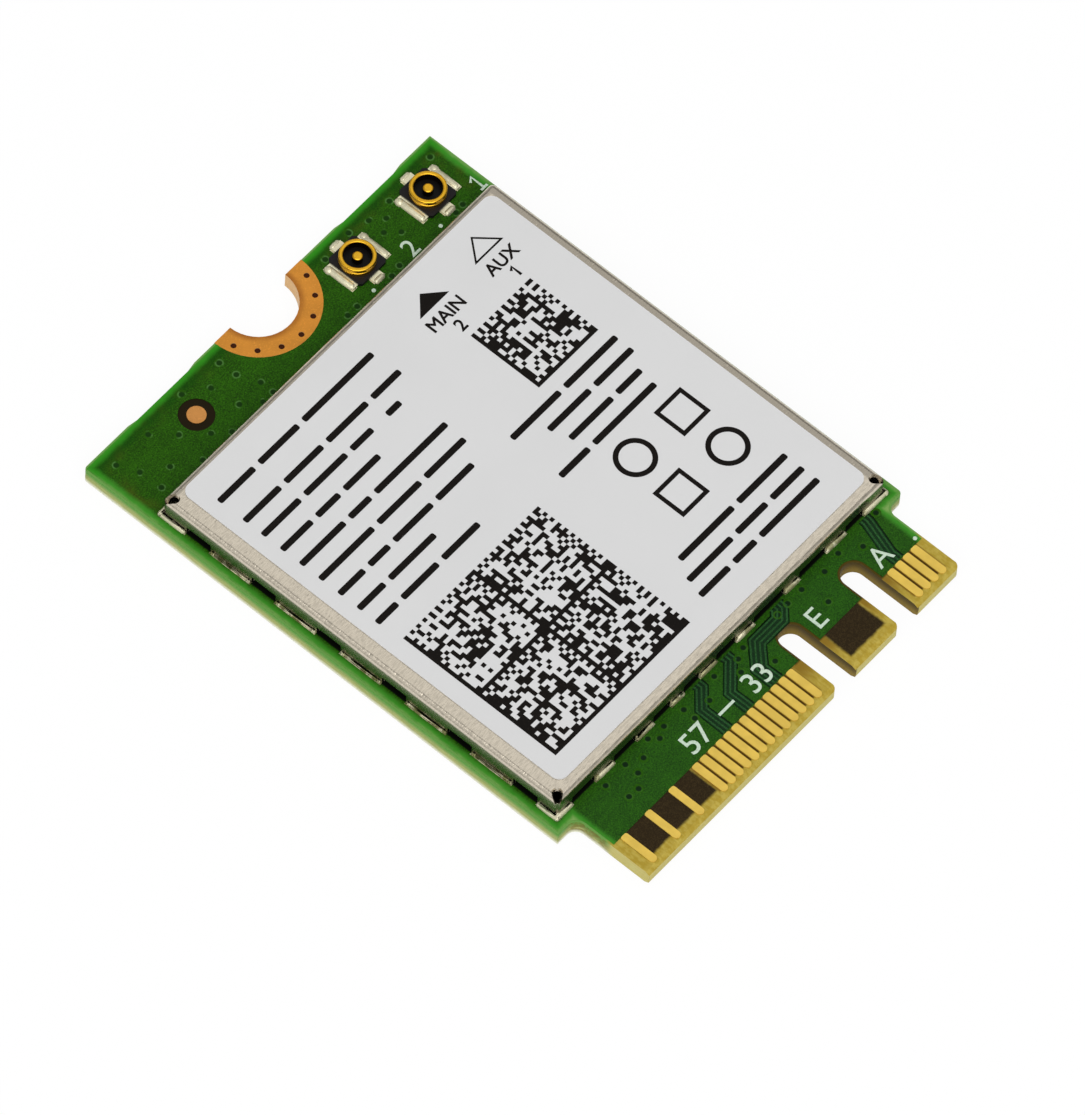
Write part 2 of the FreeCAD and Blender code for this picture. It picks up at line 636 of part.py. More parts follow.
def make_can():
    """Sheet-metal can: bent edges, rows of feet, open reliefs at three of the lid's corners."""
    body = new_body("can")
    plan = new_sketch(body, "plan", "can_x", CAN_MIDDLE, TOP_FACE)
    draw_rectangle(plan, "can_width", "can_length")
    pad(body, plan, "can_height")
    doc.recompute()
    floor = body.Shape.BoundBox.ZMin
    round_edges(body, lambda edge: edge.BoundBox.ZMax > floor + NEAR, "can_bend_radius")
    doc.recompute()
    solid = body.Tip
    under = [f"Face{number}" for number, face in enumerate(solid.Shape.Faces, start=1)
             if face.BoundBox.ZMax < floor + NEAR]
    shell = body.newObject("PartDesign::Thickness", "shell")
    shell.Base = (solid, under)
    bind(shell, "Value", "can_sheet")
    shell.Reversed = True
    body.Tip = shell
    gap_middle = f"{TOP_FACE} + gap_height / 2"
    gap = new_sketch(body, "side_gap", role="YZ_Plane")
    place, width = side_gaps()[0]
    draw_rectangle(gap, width, "gap_height", place, gap_middle)
    cut = pocket(body, gap)
    cut.SideType = "Symmetric"
    row(body, cut, (gap, ["H_Axis"]), "side_gap_span", SIDE_GAP_COUNT)
    for gaps, forward in ((front_gaps(), True), (rear_gaps(), False)):
        holes = new_sketch(body, "end_gaps", role="XZ_Plane")
        for place, width in gaps:
            draw_rectangle(holes, width, "gap_height", place, gap_middle)
        pocket(body, holes, forward=forward)
    corners = (
        (CAN_LEFT, CAN_FRONT, -45.0),
        (CAN_RIGHT, CAN_FRONT, 45.0),
        (CAN_LEFT, CAN_REAR, 225.0),
    )
    for x, y, turn in corners:
        relief = new_sketch(body, "relief", x, y, f"{TOP_FACE} + can_height", turn=turn)
        draw_round_end(relief, "corner_notch_width", "corner_notch_reach")
        notch = pocket(body, relief, "corner_notch_depth")
        bind(notch, "TaperAngle", "-corner_notch_taper")
    keep(body, "shield_can")


def feet(gaps, start, end):
    """Start and end of each foot between the gaps of a wall."""
    starts = [start] + [f"{place} + {width} / 2" for place, width in gaps]
    ends = [f"{place} - {width} / 2" for place, width in gaps] + [end]
    return list(zip(starts, ends))


def can_walls():
    """Each wall's turn about Z, its feet, and how a place along it becomes X and Y.

    A wall's own axes are: along the wall, then inwards from its outer face.
    """
    inner = "(can_sheet + foot_pad_inside)"
    end_start = f"{CAN_LEFT} + {inner}"
    end_stop = f"{CAN_RIGHT} - {inner}"
    side_start = f"{CAN_FRONT} - foot_pad_outside"
    side_stop = f"{CAN_REAR} + foot_pad_outside"
    front = feet(front_gaps(), end_start, end_stop)
    rear = feet(rear_gaps(), end_start, end_stop)
    side = feet(side_gaps(), side_start, side_stop)
    return (
        (0.0, front, lambda start, end, inward: (start, f"{CAN_FRONT} + {inward}")),
        (90.0, side, lambda start, end, inward: (f"{CAN_RIGHT} - ({inward})", start)),
        (180.0, rear, lambda start, end, inward: (end, f"{CAN_REAR} - ({inward})")),
        (-90.0, side, lambda start, end, inward: (f"{CAN_LEFT} + {inward}", end)),
    )


def place_at(item, x, y, z, rotation=FreeCAD.Rotation()):
    item.Placement = FreeCAD.Placement(FreeCAD.Vector(), rotation)
    for axis, formula in (("x", x), ("y", y), ("z", z)):
        bind(item, f"Placement.Base.{axis}", formula)


def group(label, items):
    """Several separate solids of one kind."""
    bundle = doc.addObject("Part::Compound", "group")
    bundle.Links = items
    return keep(bundle, label)


def block(length, width, height, x, y, z, rotation=FreeCAD.Rotation()):
    """A box from one corner."""
    item = doc.addObject("Part::Box", "block")
    bind(item, "Length", length)
    bind(item, "Width", width)
    bind(item, "Height", height)
    place_at(item, x, y, z, rotation)
    return item


def make_foot_pads():
    """Copper pads under the can's feet."""
    items = []
    across = "foot_pad_outside + can_sheet + foot_pad_inside"
    for turn, spans, locate in can_walls():
        rotation = FreeCAD.Rotation(FreeCAD.Vector(0, 0, 1), turn)
        for start, end in spans:
            x, y = locate(start, end, "(-foot_pad_outside)")
            items.append(block(f"{end} - ({start})", across, "copper_thickness",
                               x, y, LAMINATE_UPPER, rotation))
    return group("shield_foot_pads", items)


def make_solder():
    """Solder banks that rise from the pads up the outside of the feet."""
    items = []
    raised = FreeCAD.Rotation(FreeCAD.Vector(1, 0, 0), 90.0)
    corner = "can_bend_radius"
    for turn, spans, locate in can_walls():
        rotation = FreeCAD.Rotation(FreeCAD.Vector(0, 0, 1), turn).multiply(raised)
        last = len(spans) - 1
        for number, (start, end) in enumerate(spans):
            side = turn in (90.0, -90.0)
            if number == 0:
                start = f"{CAN_FRONT} + {corner}" if side else f"{CAN_LEFT} + {corner}"
            if number == last:
                end = f"{CAN_REAR} - {corner}" if side else f"{CAN_RIGHT} - {corner}"
            bank = doc.addObject("Part::Wedge", "bank")
            length = f"{end} - ({start})"
            for path in ("Xmin", "X2min", "Ymin", "Zmin", "Z2min"):
                bind(bank, path, "0")
            bind(bank, "Xmax", length)
            bind(bank, "X2max", length)
            bind(bank, "Ymax", "solder_height")
            bind(bank, "Zmax", "foot_pad_outside")
            bind(bank, "Z2max", "solder_lip")
            x, y = locate(start, end, "0")
            place_at(bank, x, y, TOP_FACE, rotation)
            items.append(bank)
    group("shield_solder_banks", items)


def make_masks(foot_pads, tab_pads):
    """Lacquer on both faces, open round the copper that it leaves bare."""
    openings = {
        "solder_mask_top": (LAMINATE_UPPER, [foot_pads, tab_pads, make_dot("dot_opening")]),
        "solder_mask_bottom": ("copper_thickness - mask_thickness", []),
    }
    for label, (lower, tools) in openings.items():
        body = new_body("lacquer")
        card_plate(body, lower, "mask_thickness", "mask_edge", "mask_pullback",
                   "ground_pad_radius")
        half_tongue = size("tongue_width") / 2 - size("mask_pullback")
        corner_y = size("tongue_length") + size("mask_pullback") - size("board_length") / 2
        places = [(-half_tongue, corner_y), (half_tongue, corner_y)]
        round_edges(body, upright_at(places), "shoulder_radius + mask_pullback")
        piece = body
        for tool in tools:
            opened = doc.addObject("Part::Cut", "opened")
            opened.Base = piece
            opened.Tool = tool
            piece = opened
        keep(piece, label)


def make_label():
    body = new_body("sticker")
    plan = new_sketch(body, "plan", "label_x", from_edge("label_from_edge"),
                      f"{TOP_FACE} + can_height")
    draw_rectangle(plan, "label_width", "label_length")
    pad(body, plan, "label_thickness")
    round_edges(body, upright, "label_corner_radius")
    keep(body, "label")


def seat_receptacle(item, antenna_x):
    bind(item, "Placement.Base.x", antenna_x)
    bind(item, "Placement.Base.y", from_edge("antenna_from_edge"))
    bind(item, "Placement.Base.z", TOP_FACE)


def turn_round(body, sketch):
    """Turn a profile once about the body's upright axis."""
    turned = body.newObject("PartDesign::Revolution", "turned")
    turned.Profile = sketch
    turned.ReferenceAxis = (sketch, ["V_Axis"])
    turned.Angle = 360.0
    return turned


def make_shell(label, antenna_x):
    """Ring with its snap groove on a sheet foot with two side tabs and a rear tab."""
    body = new_body("shell")
    foot = new_sketch(body, "foot")
    half_tab = "tab_width / 2"
    half_notch = "tab_notch_width / 2"
    notched = "tab_reach - tab_notch_depth"
    draw_outline(foot, (
        ("-tab_reach", f"-{half_tab}"),
        ("tab_reach", f"-{half_tab}"),
        ("tab_reach", f"-{half_notch}"),
        (notched, f"-{half_notch}"),
        (notched, half_notch),
        ("tab_reach", half_notch),
        ("tab_reach", half_tab),
        ("lead_width / 2", half_tab),
        ("lead_width / 2", "tab_reach"),
        ("-lead_width / 2", "tab_reach"),
        ("-lead_width / 2", half_tab),
        ("-tab_reach", half_tab),
        ("-tab_reach", half_notch),
        (f"-({notched})", half_notch),
        (f"-({notched})", f"-{half_notch}"),
        ("-tab_reach", f"-{half_notch}"),
    ))
    pad(body, foot, "tab_thickness")
    opening = new_sketch(body, "opening", z="tab_thickness")
    draw_circle(opening, "shell_bore")
    pocket(body, opening)
    channel = new_sketch(body, "channel", z="tab_thickness")
    draw_rectangle(channel, "lead_width + 2 * lead_clearance", "tab_width / 2", "0",
                   "-tab_width / 4")
    pocket(body, channel)
    profile = new_sketch(body, "profile", role="XZ_Plane")
    groove_low = "snap_groove_height - snap_groove_depth"
    groove_high = "snap_groove_height + snap_groove_depth"
    draw_outline(profile, (
        ("shell_bore", "tab_thickness"),
        ("shell_radius", "tab_thickness"),
        ("shell_radius", groove_low),
        ("shell_radius - snap_groove_depth", "snap_groove_height"),
        ("shell_radius", groove_high),
        ("shell_radius", "shell_height"),
        ("shell_bore", "shell_height"),
    ))
    turn_round(body, profile)
    round_edges(body, level_at(size("shell_height")), "shell_rim")
    seat_receptacle(body, antenna_x)
    return keep(body, label)


def make_pin(label, antenna_x):
    """Centre pin with a lead that comes out under the front of the base."""
    body = new_body("pin")
    lead = new_sketch(body, "lead")
    draw_rectangle(lead, "lead_width", "tab_reach", "0", "-tab_reach / 2")
    pad(body, lead, "lead_thickness")
    profile = new_sketch(body, "profile", role="XZ_Plane")
    draw_outline(profile, (
        ("0", "0"),
        ("pin_radius", "0"),
        ("pin_radius", "pin_height"),
        ("0", "pin_height"),
    ))
    turn_round(body, profile)
    round_edges(body, level_at(size("pin_height")), "pin_round")
    seat_receptacle(body, antenna_x)
    return keep(body, label)


def make_base(label, antenna_x, shell, pin):
    """Plastic base moulded round the shell's foot and the pin."""
    body = new_body("base")
    plan = new_sketch(body, "plan")
    draw_rectangle(plan, "base_width", "base_length")
    pad(body, plan, "base_height")
    bevel_edges(body, upright, "base_corner")
    seat_receptacle(body, antenna_x)
    moulded = body
    for tool in (shell, pin):
        recess = doc.addObject("Part::Cut", "recess")
        recess.Base = moulded
        recess.Tool = tool
        moulded = recess
    keep(moulded, label)


def make_tab_pads(antennas):
    """Copper pads under the receptacles' tabs."""
    items = []
    edge_y = from_edge("antenna_from_edge")
    side_length = "(tab_width + 2 * tab_pad_margin)"
    end_length = "(lead_width + 2 * tab_pad_margin)"
    depth = "(tab_reach + tab_pad_margin - base_length / 2)"
    for antenna_x in antennas:
        for near in ("base_length / 2", "(-tab_reach - tab_pad_margin)"):
            items.append(block(depth, side_length, "copper_thickness",
                               f"{antenna_x} + {near}", f"{edge_y} - {side_length} / 2",
                               LAMINATE_UPPER))
            items.append(block(end_length, depth, "copper_thickness",
                               f"{antenna_x} - {end_length} / 2", f"{edge_y} + {near}",
                               LAMINATE_UPPER))
    return group("antenna_solder_pads", items)


def make_package(label, length, width, height, x, y, lower=MASK_FACE):
    """A moulded package with bevelled upper edges."""
    body = new_body("package")
    plan = new_sketch(body, "plan", x, y, lower)
    draw_rectangle(plan, length, width)
    pad(body, plan, height)
    doc.recompute()
    bevel_edges(body, level_at(body.Shape.BoundBox.ZMax), "package_bevel")
    keep(body, label)


def make_row(label, outline, height, x, y, axis, pitch, count):
    """Like parts in one straight row that starts at a given place."""
    body = new_body("parts")
    plan = new_sketch(body, "plan", x, y, MASK_FACE)
    draw_rectangle(plan, *outline)
    row(body, pad(body, plan, height), (plan, [axis]), f"{count - 1} * {pitch}", count)
    keep(body, label)


def make_passives(label, height, x, y, columns):
    """Two-ended ceramic parts with metal end caps, in two rows."""
    body = new_body("passives")
    plan = new_sketch(body, "plan", x, y, MASK_FACE)
    draw_rectangle(plan, "passive_length - 2 * end_cap_length", "passive_width")
    parts = [pad(body, plan, f"{height} - end_cap_skin")]
    for sign in ("-", "+"):
        cap = new_sketch(body, "cap", x, y, MASK_FACE)
        draw_rectangle(cap, "end_cap_length", "passive_width + 2 * end_cap_skin",
                       f"0 {sign} (passive_length - end_cap_length) / 2")
        parts.append(pad(body, cap, height))
    grid(body, parts, plan, (columns, "passive_column_pitch"), (PASSIVE_ROWS, "passive_row_pitch"))
    keep(body, label)


def make_chip():
    """Radio chip on its solder balls, with the soft pad that touches the lid."""
    middle = from_edge("chip_from_edge")
    balls = new_body("balls")
    half_span = f"{(BALL_ROWS - 1) / 2} * ball_pitch"
    spot = new_sketch(balls, "spot", f"can_x - {half_span}", f"{middle} - {half_span}", MASK_FACE)
    draw_circle(spot, "ball_diameter / 2")
    ball = pad(balls, spot, "ball_height")
    grid(balls, [ball], spot, (BALL_ROWS, "ball_pitch"), (BALL_ROWS, "ball_pitch"))
    keep(balls, "chip_solder_balls")
    seat = f"{MASK_FACE} + ball_height"
    make_package("wireless_chip", "chip_width", "chip_width", "chip_height", "can_x", middle, seat)
    cushion = new_body("cushion")
    plan = new_sketch(cushion, "plan", "can_x", middle, f"{seat} + chip_height")
    draw_rectangle(plan, "thermal_pad_width", "thermal_pad_width")
    pad(cushion, plan, "copper_thickness - mask_thickness + can_height - can_sheet"
        " - ball_height - chip_height")
    keep(cushion, "thermal_pad")


def make_circuit():
    """The other parts that stand on the board under the can."""
    left = "can_x + left_column_x"
    right = "can_x + right_column_x"
    for port in ("main", "aux"):
        make_package(f"front_end_module_{port}", "module_width", "module_width",
                     "module_height", f"antenna_{port}_x - module_shift",
                     from_edge("module_from_edge"))
    make_package("reference_crystal", "crystal_length", "crystal_width", "crystal_height",
                 left, from_edge("chip_from_edge"))
    make_package("settings_memory", "memory_length", "memory_width", "memory_height",
                 left, from_edge("memory_from_edge"))
    make_package("voltage_regulator", "regulator_width", "regulator_width",
                 "regulator_height", right, from_edge("regulator_from_edge"))
    make_row("power_inductors", ("inductor_length", "inductor_width"), "inductor_height",
             right, from_edge("inductor_from_edge"), "V_Axis", "inductor_pitch", INDUCTOR_COUNT)
    make_row("band_filters", ("filter_length", "filter_width"), "filter_height",
             "antenna_main_x", from_edge("filter_from_edge"), "H_Axis", "filter_pitch",
             FILTER_COUNT)
    make_passives("capacitors", "capacitor_height", "can_x + capacitor_x",
                  from_edge("capacitor_from_edge"), CAPACITOR_COLUMNS)
    make_passives("resistors", "resistor_height", "can_x + resistor_x",
                  from_edge("resistor_from_edge"), RESISTOR_COLUMNS)


fill_sheet()
make_board()
make_fingers("contact_fingers_top", TOP_CONTACTS, LAMINATE_UPPER)
make_fingers("contact_fingers_bottom", BOTTOM_CONTACTS, "0")
make_ground_ring()
keep(make_dot("dot_diameter"), "alignment_dot")
can_pads = make_foot_pads()
receptacle_pads = make_tab_pads(("antenna_main_x", "antenna_aux_x"))
make_masks(can_pads, receptacle_pads)
make_can()
make_solder()
make_label()
for port in ("main", "aux"):
    place = f"antenna_{port}_x"
    ring_shell = make_shell(f"antenna_{port}_shell", place)
    centre_pin = make_pin(f"antenna_{port}_pin", place)
    make_base(f"antenna_{port}_base", place, ring_shell, centre_pin)
make_chip()
make_circuit()
doc.recompute()

for item in doc.Objects:
    if "Invalid" in item.State or "Error" in item.State:
        raise RuntimeError(f"{item.Label} failed: {item.State}")
for item in nodes:
    if item.Shape.isNull() or not item.Shape.isValid():
        raise RuntimeError(f"{item.Label} has no valid shape")

os.makedirs("parts", exist_ok=True)
for item in nodes:
    item.Shape.exportStep(f"parts/{item.Label}.step")
    box = item.Shape.BoundBox
    print(f"{item.Label}: {len(item.Shape.Solids)} solids, volume {item.Shape.Volume:.3f}, "
          f"z {box.ZMin:.3f} to {box.ZMax:.3f}")
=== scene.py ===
"""Looks of a small wireless network card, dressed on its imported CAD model.

Places are in millimetres unless a name says otherwise: X across the card, Y along it
from the leading edge of the plug, as the card is drawn.
"""
import math
import random

import bmesh
import bpy
from mathutils import Matrix, Vector


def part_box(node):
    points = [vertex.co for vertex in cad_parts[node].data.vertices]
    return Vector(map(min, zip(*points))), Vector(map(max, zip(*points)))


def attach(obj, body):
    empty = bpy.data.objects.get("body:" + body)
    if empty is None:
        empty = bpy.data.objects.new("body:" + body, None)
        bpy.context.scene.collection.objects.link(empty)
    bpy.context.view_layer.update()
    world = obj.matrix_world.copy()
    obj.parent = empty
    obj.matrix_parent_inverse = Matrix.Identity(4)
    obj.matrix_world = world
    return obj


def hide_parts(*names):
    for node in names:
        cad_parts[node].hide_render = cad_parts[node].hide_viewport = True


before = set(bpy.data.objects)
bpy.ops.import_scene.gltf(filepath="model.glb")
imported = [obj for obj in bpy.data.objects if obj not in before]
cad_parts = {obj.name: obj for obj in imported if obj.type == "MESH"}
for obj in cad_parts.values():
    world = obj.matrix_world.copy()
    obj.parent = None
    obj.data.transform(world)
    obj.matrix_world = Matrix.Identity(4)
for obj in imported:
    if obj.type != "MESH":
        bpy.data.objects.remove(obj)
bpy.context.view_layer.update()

bl_info = {
    "name": "Wireless card looks",
    "version": (1, 0, 0),
    "blender": (4, 5, 0),
    "location": "View3D > Sidebar > Card",
    "description": "Finishes, print, solder and stage for a wireless network card",
    "category": "Object",
}

MM = 0.001
LEADING_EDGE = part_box("circuit_board")[0].y / MM
REAR_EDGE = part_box("circuit_board")[1].y / MM
LACQUER_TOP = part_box("solder_mask_top")[1].z / MM
LACQUER_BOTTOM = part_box("solder_mask_bottom")[0].z / MM
BOARD_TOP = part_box("contact_fingers_top")[1].z / MM
LABEL_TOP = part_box("label")[1].z / MM
RECEPTACLES = ("antenna_main", "antenna_aux")

# Print and legend start this far above what carries them.
CLEAR = 0.001

# Middles of the key slots, the rows of contacts that stand side by side, and the strips
# of laminate that turn brown beside a slot.
KEY_SLOTS = (2.625, 6.625)
NOTCH_RADIUS = 1.75
CONTACT_BLOCKS = ((-5.0, 1.5), (7.5, 9.5))
SLOT_BORDERS = ((7.2, 7.5), (1.5, 2.05), (3.2, 3.55), (5.75, 6.05))

# Copper inside the board: left, right, then low and high along the card.
INNER_BODY = (-10.6, 10.6, 4.4, 29.64)
INNER_TONGUE = (-9.66, 9.58, 0.5, 8.0)
INNER_TONGUE_BARE = (-9.42, 9.4, 0.5, 8.0)

# Lacquered-over holes behind and in front of the can: X, then Y from the leading edge.
VIA_PLACES = (
    (-9.95, 29.1), (-7.95, 29.1), (-5.55, 29.35), (-3.35, 29.2), (-9.55, 28.15), (-7.1, 28.15),
    (-4.5, 28.65), (-3.3, 28.3), (-8.5, 27.4), (-9.5, 27.0), (-6.15, 27.2), (-4.3, 27.25),
    (-2.9, 27.3), (-7.35, 26.6), (-5.5, 26.6), (-3.55, 26.6), (-2.9, 26.6),
    (3.43, 29.25), (5.07, 29.38), (6.1, 29.15), (7.4, 29.14), (10.2, 29.3), (6.68, 28.68),
    (6.08, 28.3), (6.6, 27.78), (5.3, 26.75), (2.0, 26.75), (2.6, 26.75), (4.7, 26.65),
    (9.35, 26.75), (8.85, 26.7),
    (-7.95, 4.05), (-6.65, 4.1), (-5.1, 4.2), (-5.9, 3.75), (-4.75, 3.85), (-4.2, 4.1),
    (-6.6, 3.45), (-7.7, 3.0), (-7.15, 2.95), (-3.05, 4.0), (-3.05, 3.4), (-2.0, 3.5),
    (-1.0, 4.1), (0.85, 4.1), (0.3, 3.9), (-0.1, 3.4), (1.25, 2.7), (3.0, 4.05), (3.7, 4.1),
    (4.6, 4.1), (5.9, 3.95), (6.95, 4.1), (7.9, 3.55), (9.5, 4.2), (4.9, 2.9),
)

# Bundles of tracks from the plug to the can: how many run side by side, then the
# corners of the middle line.
TRACK_BUNDLES = (
    (3, ((-2.55, 2.05), (-2.55, 3.45), (-1.75, 4.15), (-1.75, 4.4))),
    (3, ((-1.15, 2.05), (-1.15, 3.1), (0.05, 4.1), (0.05, 4.4))),
    (4, ((0.55, 2.05), (0.55, 2.95), (1.45, 3.85), (2.9, 3.85), (3.3, 4.2), (3.3, 4.4))),
    (3, ((8.4, 2.05), (8.4, 2.5), (8.95, 4.2), (8.95, 4.4))),
)

# Solder at the can's feet: reach from the wall, then rise.
SIDE_FOOT = (0.09, 0.11)
SIDE_FOOT_END = (0.13, 0.14)
CORNER_FOOT = (0.17, 0.18)
END_FOOT = (0.15, 0.19)
FOOT_END_RUN = 0.3
NEAR_CORNER = 0.35
ROUND_CORNER = 0.42

# Solder on a receptacle: run, reach, rise, distance out from the axis; for the side tabs
# also the shift along the card.
TAB_BEADS = ((1.62, 0.2, 0.16, 1.06, 0.0), (0.46, 0.21, 0.19, 1.1, 0.6))
LEAD_BEAD = (0.6, 0.15, 0.13, 1.22)

# Lettering: text, height of its capitals, middle, extra weight of the strokes.
LEGEND_WORDS = (
    ("2", 0.85, 6.25, 27.0, 0.004),
    ("E", 0.98, 3.95, 2.78, 0.0),
    ("A", 0.95, 8.02, 2.74, 0.0),
    ("57", 1.0, -3.75, 2.75, 0.004),
    ("33", 1.0, 0.15, 2.75, 0.004),
)
LEGEND_DOTS = ((3.65, 26.75), (7.93, 26.75), (9.65, 2.2))
LEGEND_DOT_RADIUS = 0.095
LEGEND_DASH = (-1.8, 2.75)
LEGEND_DASH_SIZE = (0.95, 0.13)
LABEL_WORDS = (
    ("MAIN", 0.62, 4.2, 23.3, 0.02),
    ("2", 0.62, 4.2, 22.5, 0.02),
    ("AUX", 0.62, 7.75, 23.3, 0.02),
)
# Figures one: height, middle, width of the stroke, width of the foot.
LEGEND_ONE = (0.75, 10.6, 27.02, 0.13, 0.4)
LABEL_ONE = (0.56, 7.78, 22.5, 0.14, 0.0)

# Plain signs on the label: corners, middle, width, height, line; no line means solid.
LABEL_SIGNS = (
    (3, 4.2, 24.33, 1.84, 0.83, None),
    (3, 7.73, 24.47, 1.8, 1.05, 0.085),
    (40, 4.2, 12.9, 1.9, 1.9, 0.24),
    (40, 7.2, 10.4, 1.9, 1.9, 0.24),
    (4, 7.2, 12.9, 1.7, 1.7, 0.2),
    (4, 4.2, 10.4, 1.7, 1.7, 0.2),
)
# Square codes: left, right, low, high, cells along a side, blocks along a side.
SQUARE_CODES = (
    (4.08, 7.88, 18.08, 21.83, 20, 1),
    (-8.83, -0.3, 6.08, 14.37, 44, 2),
)
BLANK_SHARE = 0.52

# Runs of ink on the label: Y, then start and end along X.
INK_ROWS = (
    (24.3, -9.0, 0.67), (22.9, -9.0, 0.8), (21.9, -9.0, -2.1), (21.9, -1.15, -0.33),
    (20.85, -9.0, -2.87), (19.8, -9.0, 0.17), (18.75, -9.0, 0.12), (17.7, -9.0, -0.58),
    (16.65, -9.0, -4.2), (15.65, -9.0, -2.58),
    (17.3, 1.45, 8.12), (16.43, 2.8, 8.12), (15.5, 3.08, 7.58), (14.62, 1.42, 7.47),
    (8.35, 1.7, 8.5), (7.43, 1.17, 8.5), (6.6, 0.95, 8.5),
)
INK_RUN = (1.2, 3.4)
INK_GAP = 0.34
INK_LEAST = 0.3
INK_LAST = 1.3

# Lamps in metres: name, its power among the settings, width, height, place.
LAMPS = (
    ("softbox", "softbox_power", 1.0, 0.44, (0.38, 0.0, 0.8)),
    ("side_panel", "side_power", 0.55, 0.55, (-0.61, 0.255, 0.53)),
    ("fill", "fill_power", 1.1, 1.1, (-0.43, -0.38, 0.82)),
)
BEHIND = (0.806, 0.592, 0.0)
CAMERA_TARGET = (-1.44, 13.07)
FLOOR_DROP = 0.02


def srgb(red, green, blue):
    """A colour as a screen shows it, 0 to 255, in the linear values that shaders take."""
    def linear(level):
        level /= 255
        return level / 12.92 if level <= 0.04045 else ((level + 0.055) / 1.055) ** 2.4
    return tuple(linear(level) for level in (red, green, blue))


def shade(tone, level):
    """A colour made darker or lighter."""
    return tuple(min(part * level, 1.0) for part in tone)


# Tones that come with depth, cut edges or wear, and tones of painted shade and painted highlights.
LACQUER_BROWN = srgb(66, 66, 14)
LACQUER_COOL = (srgb(18, 54, 26), srgb(38, 86, 44))
LACQUER_SEAM = srgb(12, 66, 2)
LACQUER_RIM_PAINTED_HIGHLIGHT = srgb(124, 164, 88)
LACQUER_RIM_WEAVE = srgb(46, 130, 28)
LACQUER_RIM_REAR = srgb(36, 132, 14)
LACQUER_PAINTED_SHADE = srgb(8, 10, 6)
TRACK_LACQUER = srgb(38, 78, 38)
VIA_SUNK = (srgb(12, 36, 14), srgb(20, 52, 8))
VIA_PAINTED_HIGHLIGHT = srgb(88, 132, 70)
LAMINATE_WEAVE = srgb(182, 162, 74)
LAMINATE_BETWEEN_PAINTED_SHADE = srgb(132, 104, 36)
LAMINATE_GAP_PAINTED_SHADE = srgb(64, 44, 10)
LAMINATE_BROWN = srgb(134, 106, 34)
LAMINATE_GREEN = srgb(104, 152, 74)
SLOT_PAINTED_SHADE = srgb(74, 60, 16)
LAMINATE_SPECK = srgb(60, 48, 26)
LAMINATE_HOLE_PAINTED_SHADE = srgb(58, 26, 8)
LAMINATE_DOT = srgb(30, 22, 6)
WALL_PLUG = srgb(190, 178, 104)
WALL_FIBRE = srgb(196, 192, 132)
WALL_GREEN = srgb(84, 146, 58)
WALL_CORNER_BROWN = srgb(112, 100, 36)
WALL_PALE = srgb(226, 226, 206)
WALL_SLOT = srgb(134, 112, 46)
COPPER_EDGE_PAINTED_SHADE = srgb(156, 92, 34)
COPPER_WALL_PAINTED_HIGHLIGHT = srgb(216, 176, 122)
COPPER_DOT = srgb(210, 146, 78)
FOOT_OLIVE = srgb(112, 112, 52)
INK_THIN = srgb(40, 34, 29)
LEGEND_THIN = srgb(164, 186, 158)
RING_INSIDE_PAINTED_SHADE = srgb(70, 46, 10)
WELL_PAINTED_SHADE = srgb(3, 2, 2)
CHIP_GREY = srgb(44, 44, 48)
CERAMIC_CREAM = srgb(176, 140, 98)
FERRITE_GREY = srgb(58, 58, 62)
PAD_GREY = (srgb(116, 128, 146), srgb(150, 160, 176))


def colour(name, description, red, green, blue):
    return bpy.props.FloatVectorProperty(
        name=name, description=description, subtype="COLOR", size=3, min=0.0, max=1.0,
        default=srgb(red, green, blue))


def number(name, description, default, **kind):
    return bpy.props.FloatProperty(name=name, description=description, default=default, **kind)


def length(name, description, millimetres):
    return number(name, description, millimetres * MM,
                  unit="LENGTH", subtype="DISTANCE", min=0.0, precision=6)


def angle(name, description, degrees):
    return number(name, description, math.radians(degrees), subtype="ANGLE")


def power(name, description, watts):
    return number(name, description, watts, unit="POWER")


class CardColours(bpy.types.PropertyGroup):
    """Colours that a user may change."""
    lacquer: colour("Lacquer", "Green lacquer over copper", 34, 77, 5)
    lacquer_gap: colour("Lacquer gap", "Green lacquer between tracks", 14, 36, 17)
    lacquer_rim: colour("Lacquer rim", "Green lacquer over clear laminate", 60, 135, 38)
    laminate: colour("Laminate", "Clear laminate seen from above", 166, 142, 50)
    laminate_wall: colour("Laminate wall", "Cut edge of the lacquered board", 158, 164, 100)
    inner_copper: colour("Inner copper", "Buried copper seen through laminate", 40, 30, 14)
    gold: colour("Gold", "Contacts", 246, 210, 98)
    ring_gold: colour("Ring gold", "Receptacle rings and pins", 232, 178, 48)
    copper: colour("Copper", "Bare copper round the notch", 218, 146, 56)
    tin: colour("Tin", "Tin-plated sheet", 216, 206, 188)
    solder: colour("Solder", "Solder and tinned tabs", 224, 218, 186)
    label: colour("Label", "Label film", 214, 214, 214)
    ink: colour("Ink", "Print on the label", 16, 12, 9)
    legend: colour("Legend", "White legend on the lacquer", 198, 216, 198)
    resin: colour("Resin", "Black moulded resin", 20, 18, 20)
    floor: colour("Floor", "Floor and surroundings", 252, 252, 252)


class CardSizes(bpy.types.PropertyGroup):
    """Sizes that a user may change."""
    ink_thickness: length("Ink thickness", "Print above the label", 0.006)
    ink_row_height: length("Ink row height", "Runs of print", 0.3)
    legend_thickness: length("Legend thickness", "Legend above the lacquer", 0.012)
    via_radius: length("Via radius", "Lacquered-over holes", 0.23)
    via_rise: length("Via rise", "Rim of a lacquered-over hole", 0.012)
    track_width: length("Track width", "Tracks under the lacquer", 0.1)
    track_pitch: length("Track pitch", "From one track to the next", 0.2)
    track_rise: length("Track rise", "Tracks above the lacquer", 0.01)
    code_seed: bpy.props.IntProperty(
        name="Code seed", description="Chance pattern of the square codes", default=11, min=0)


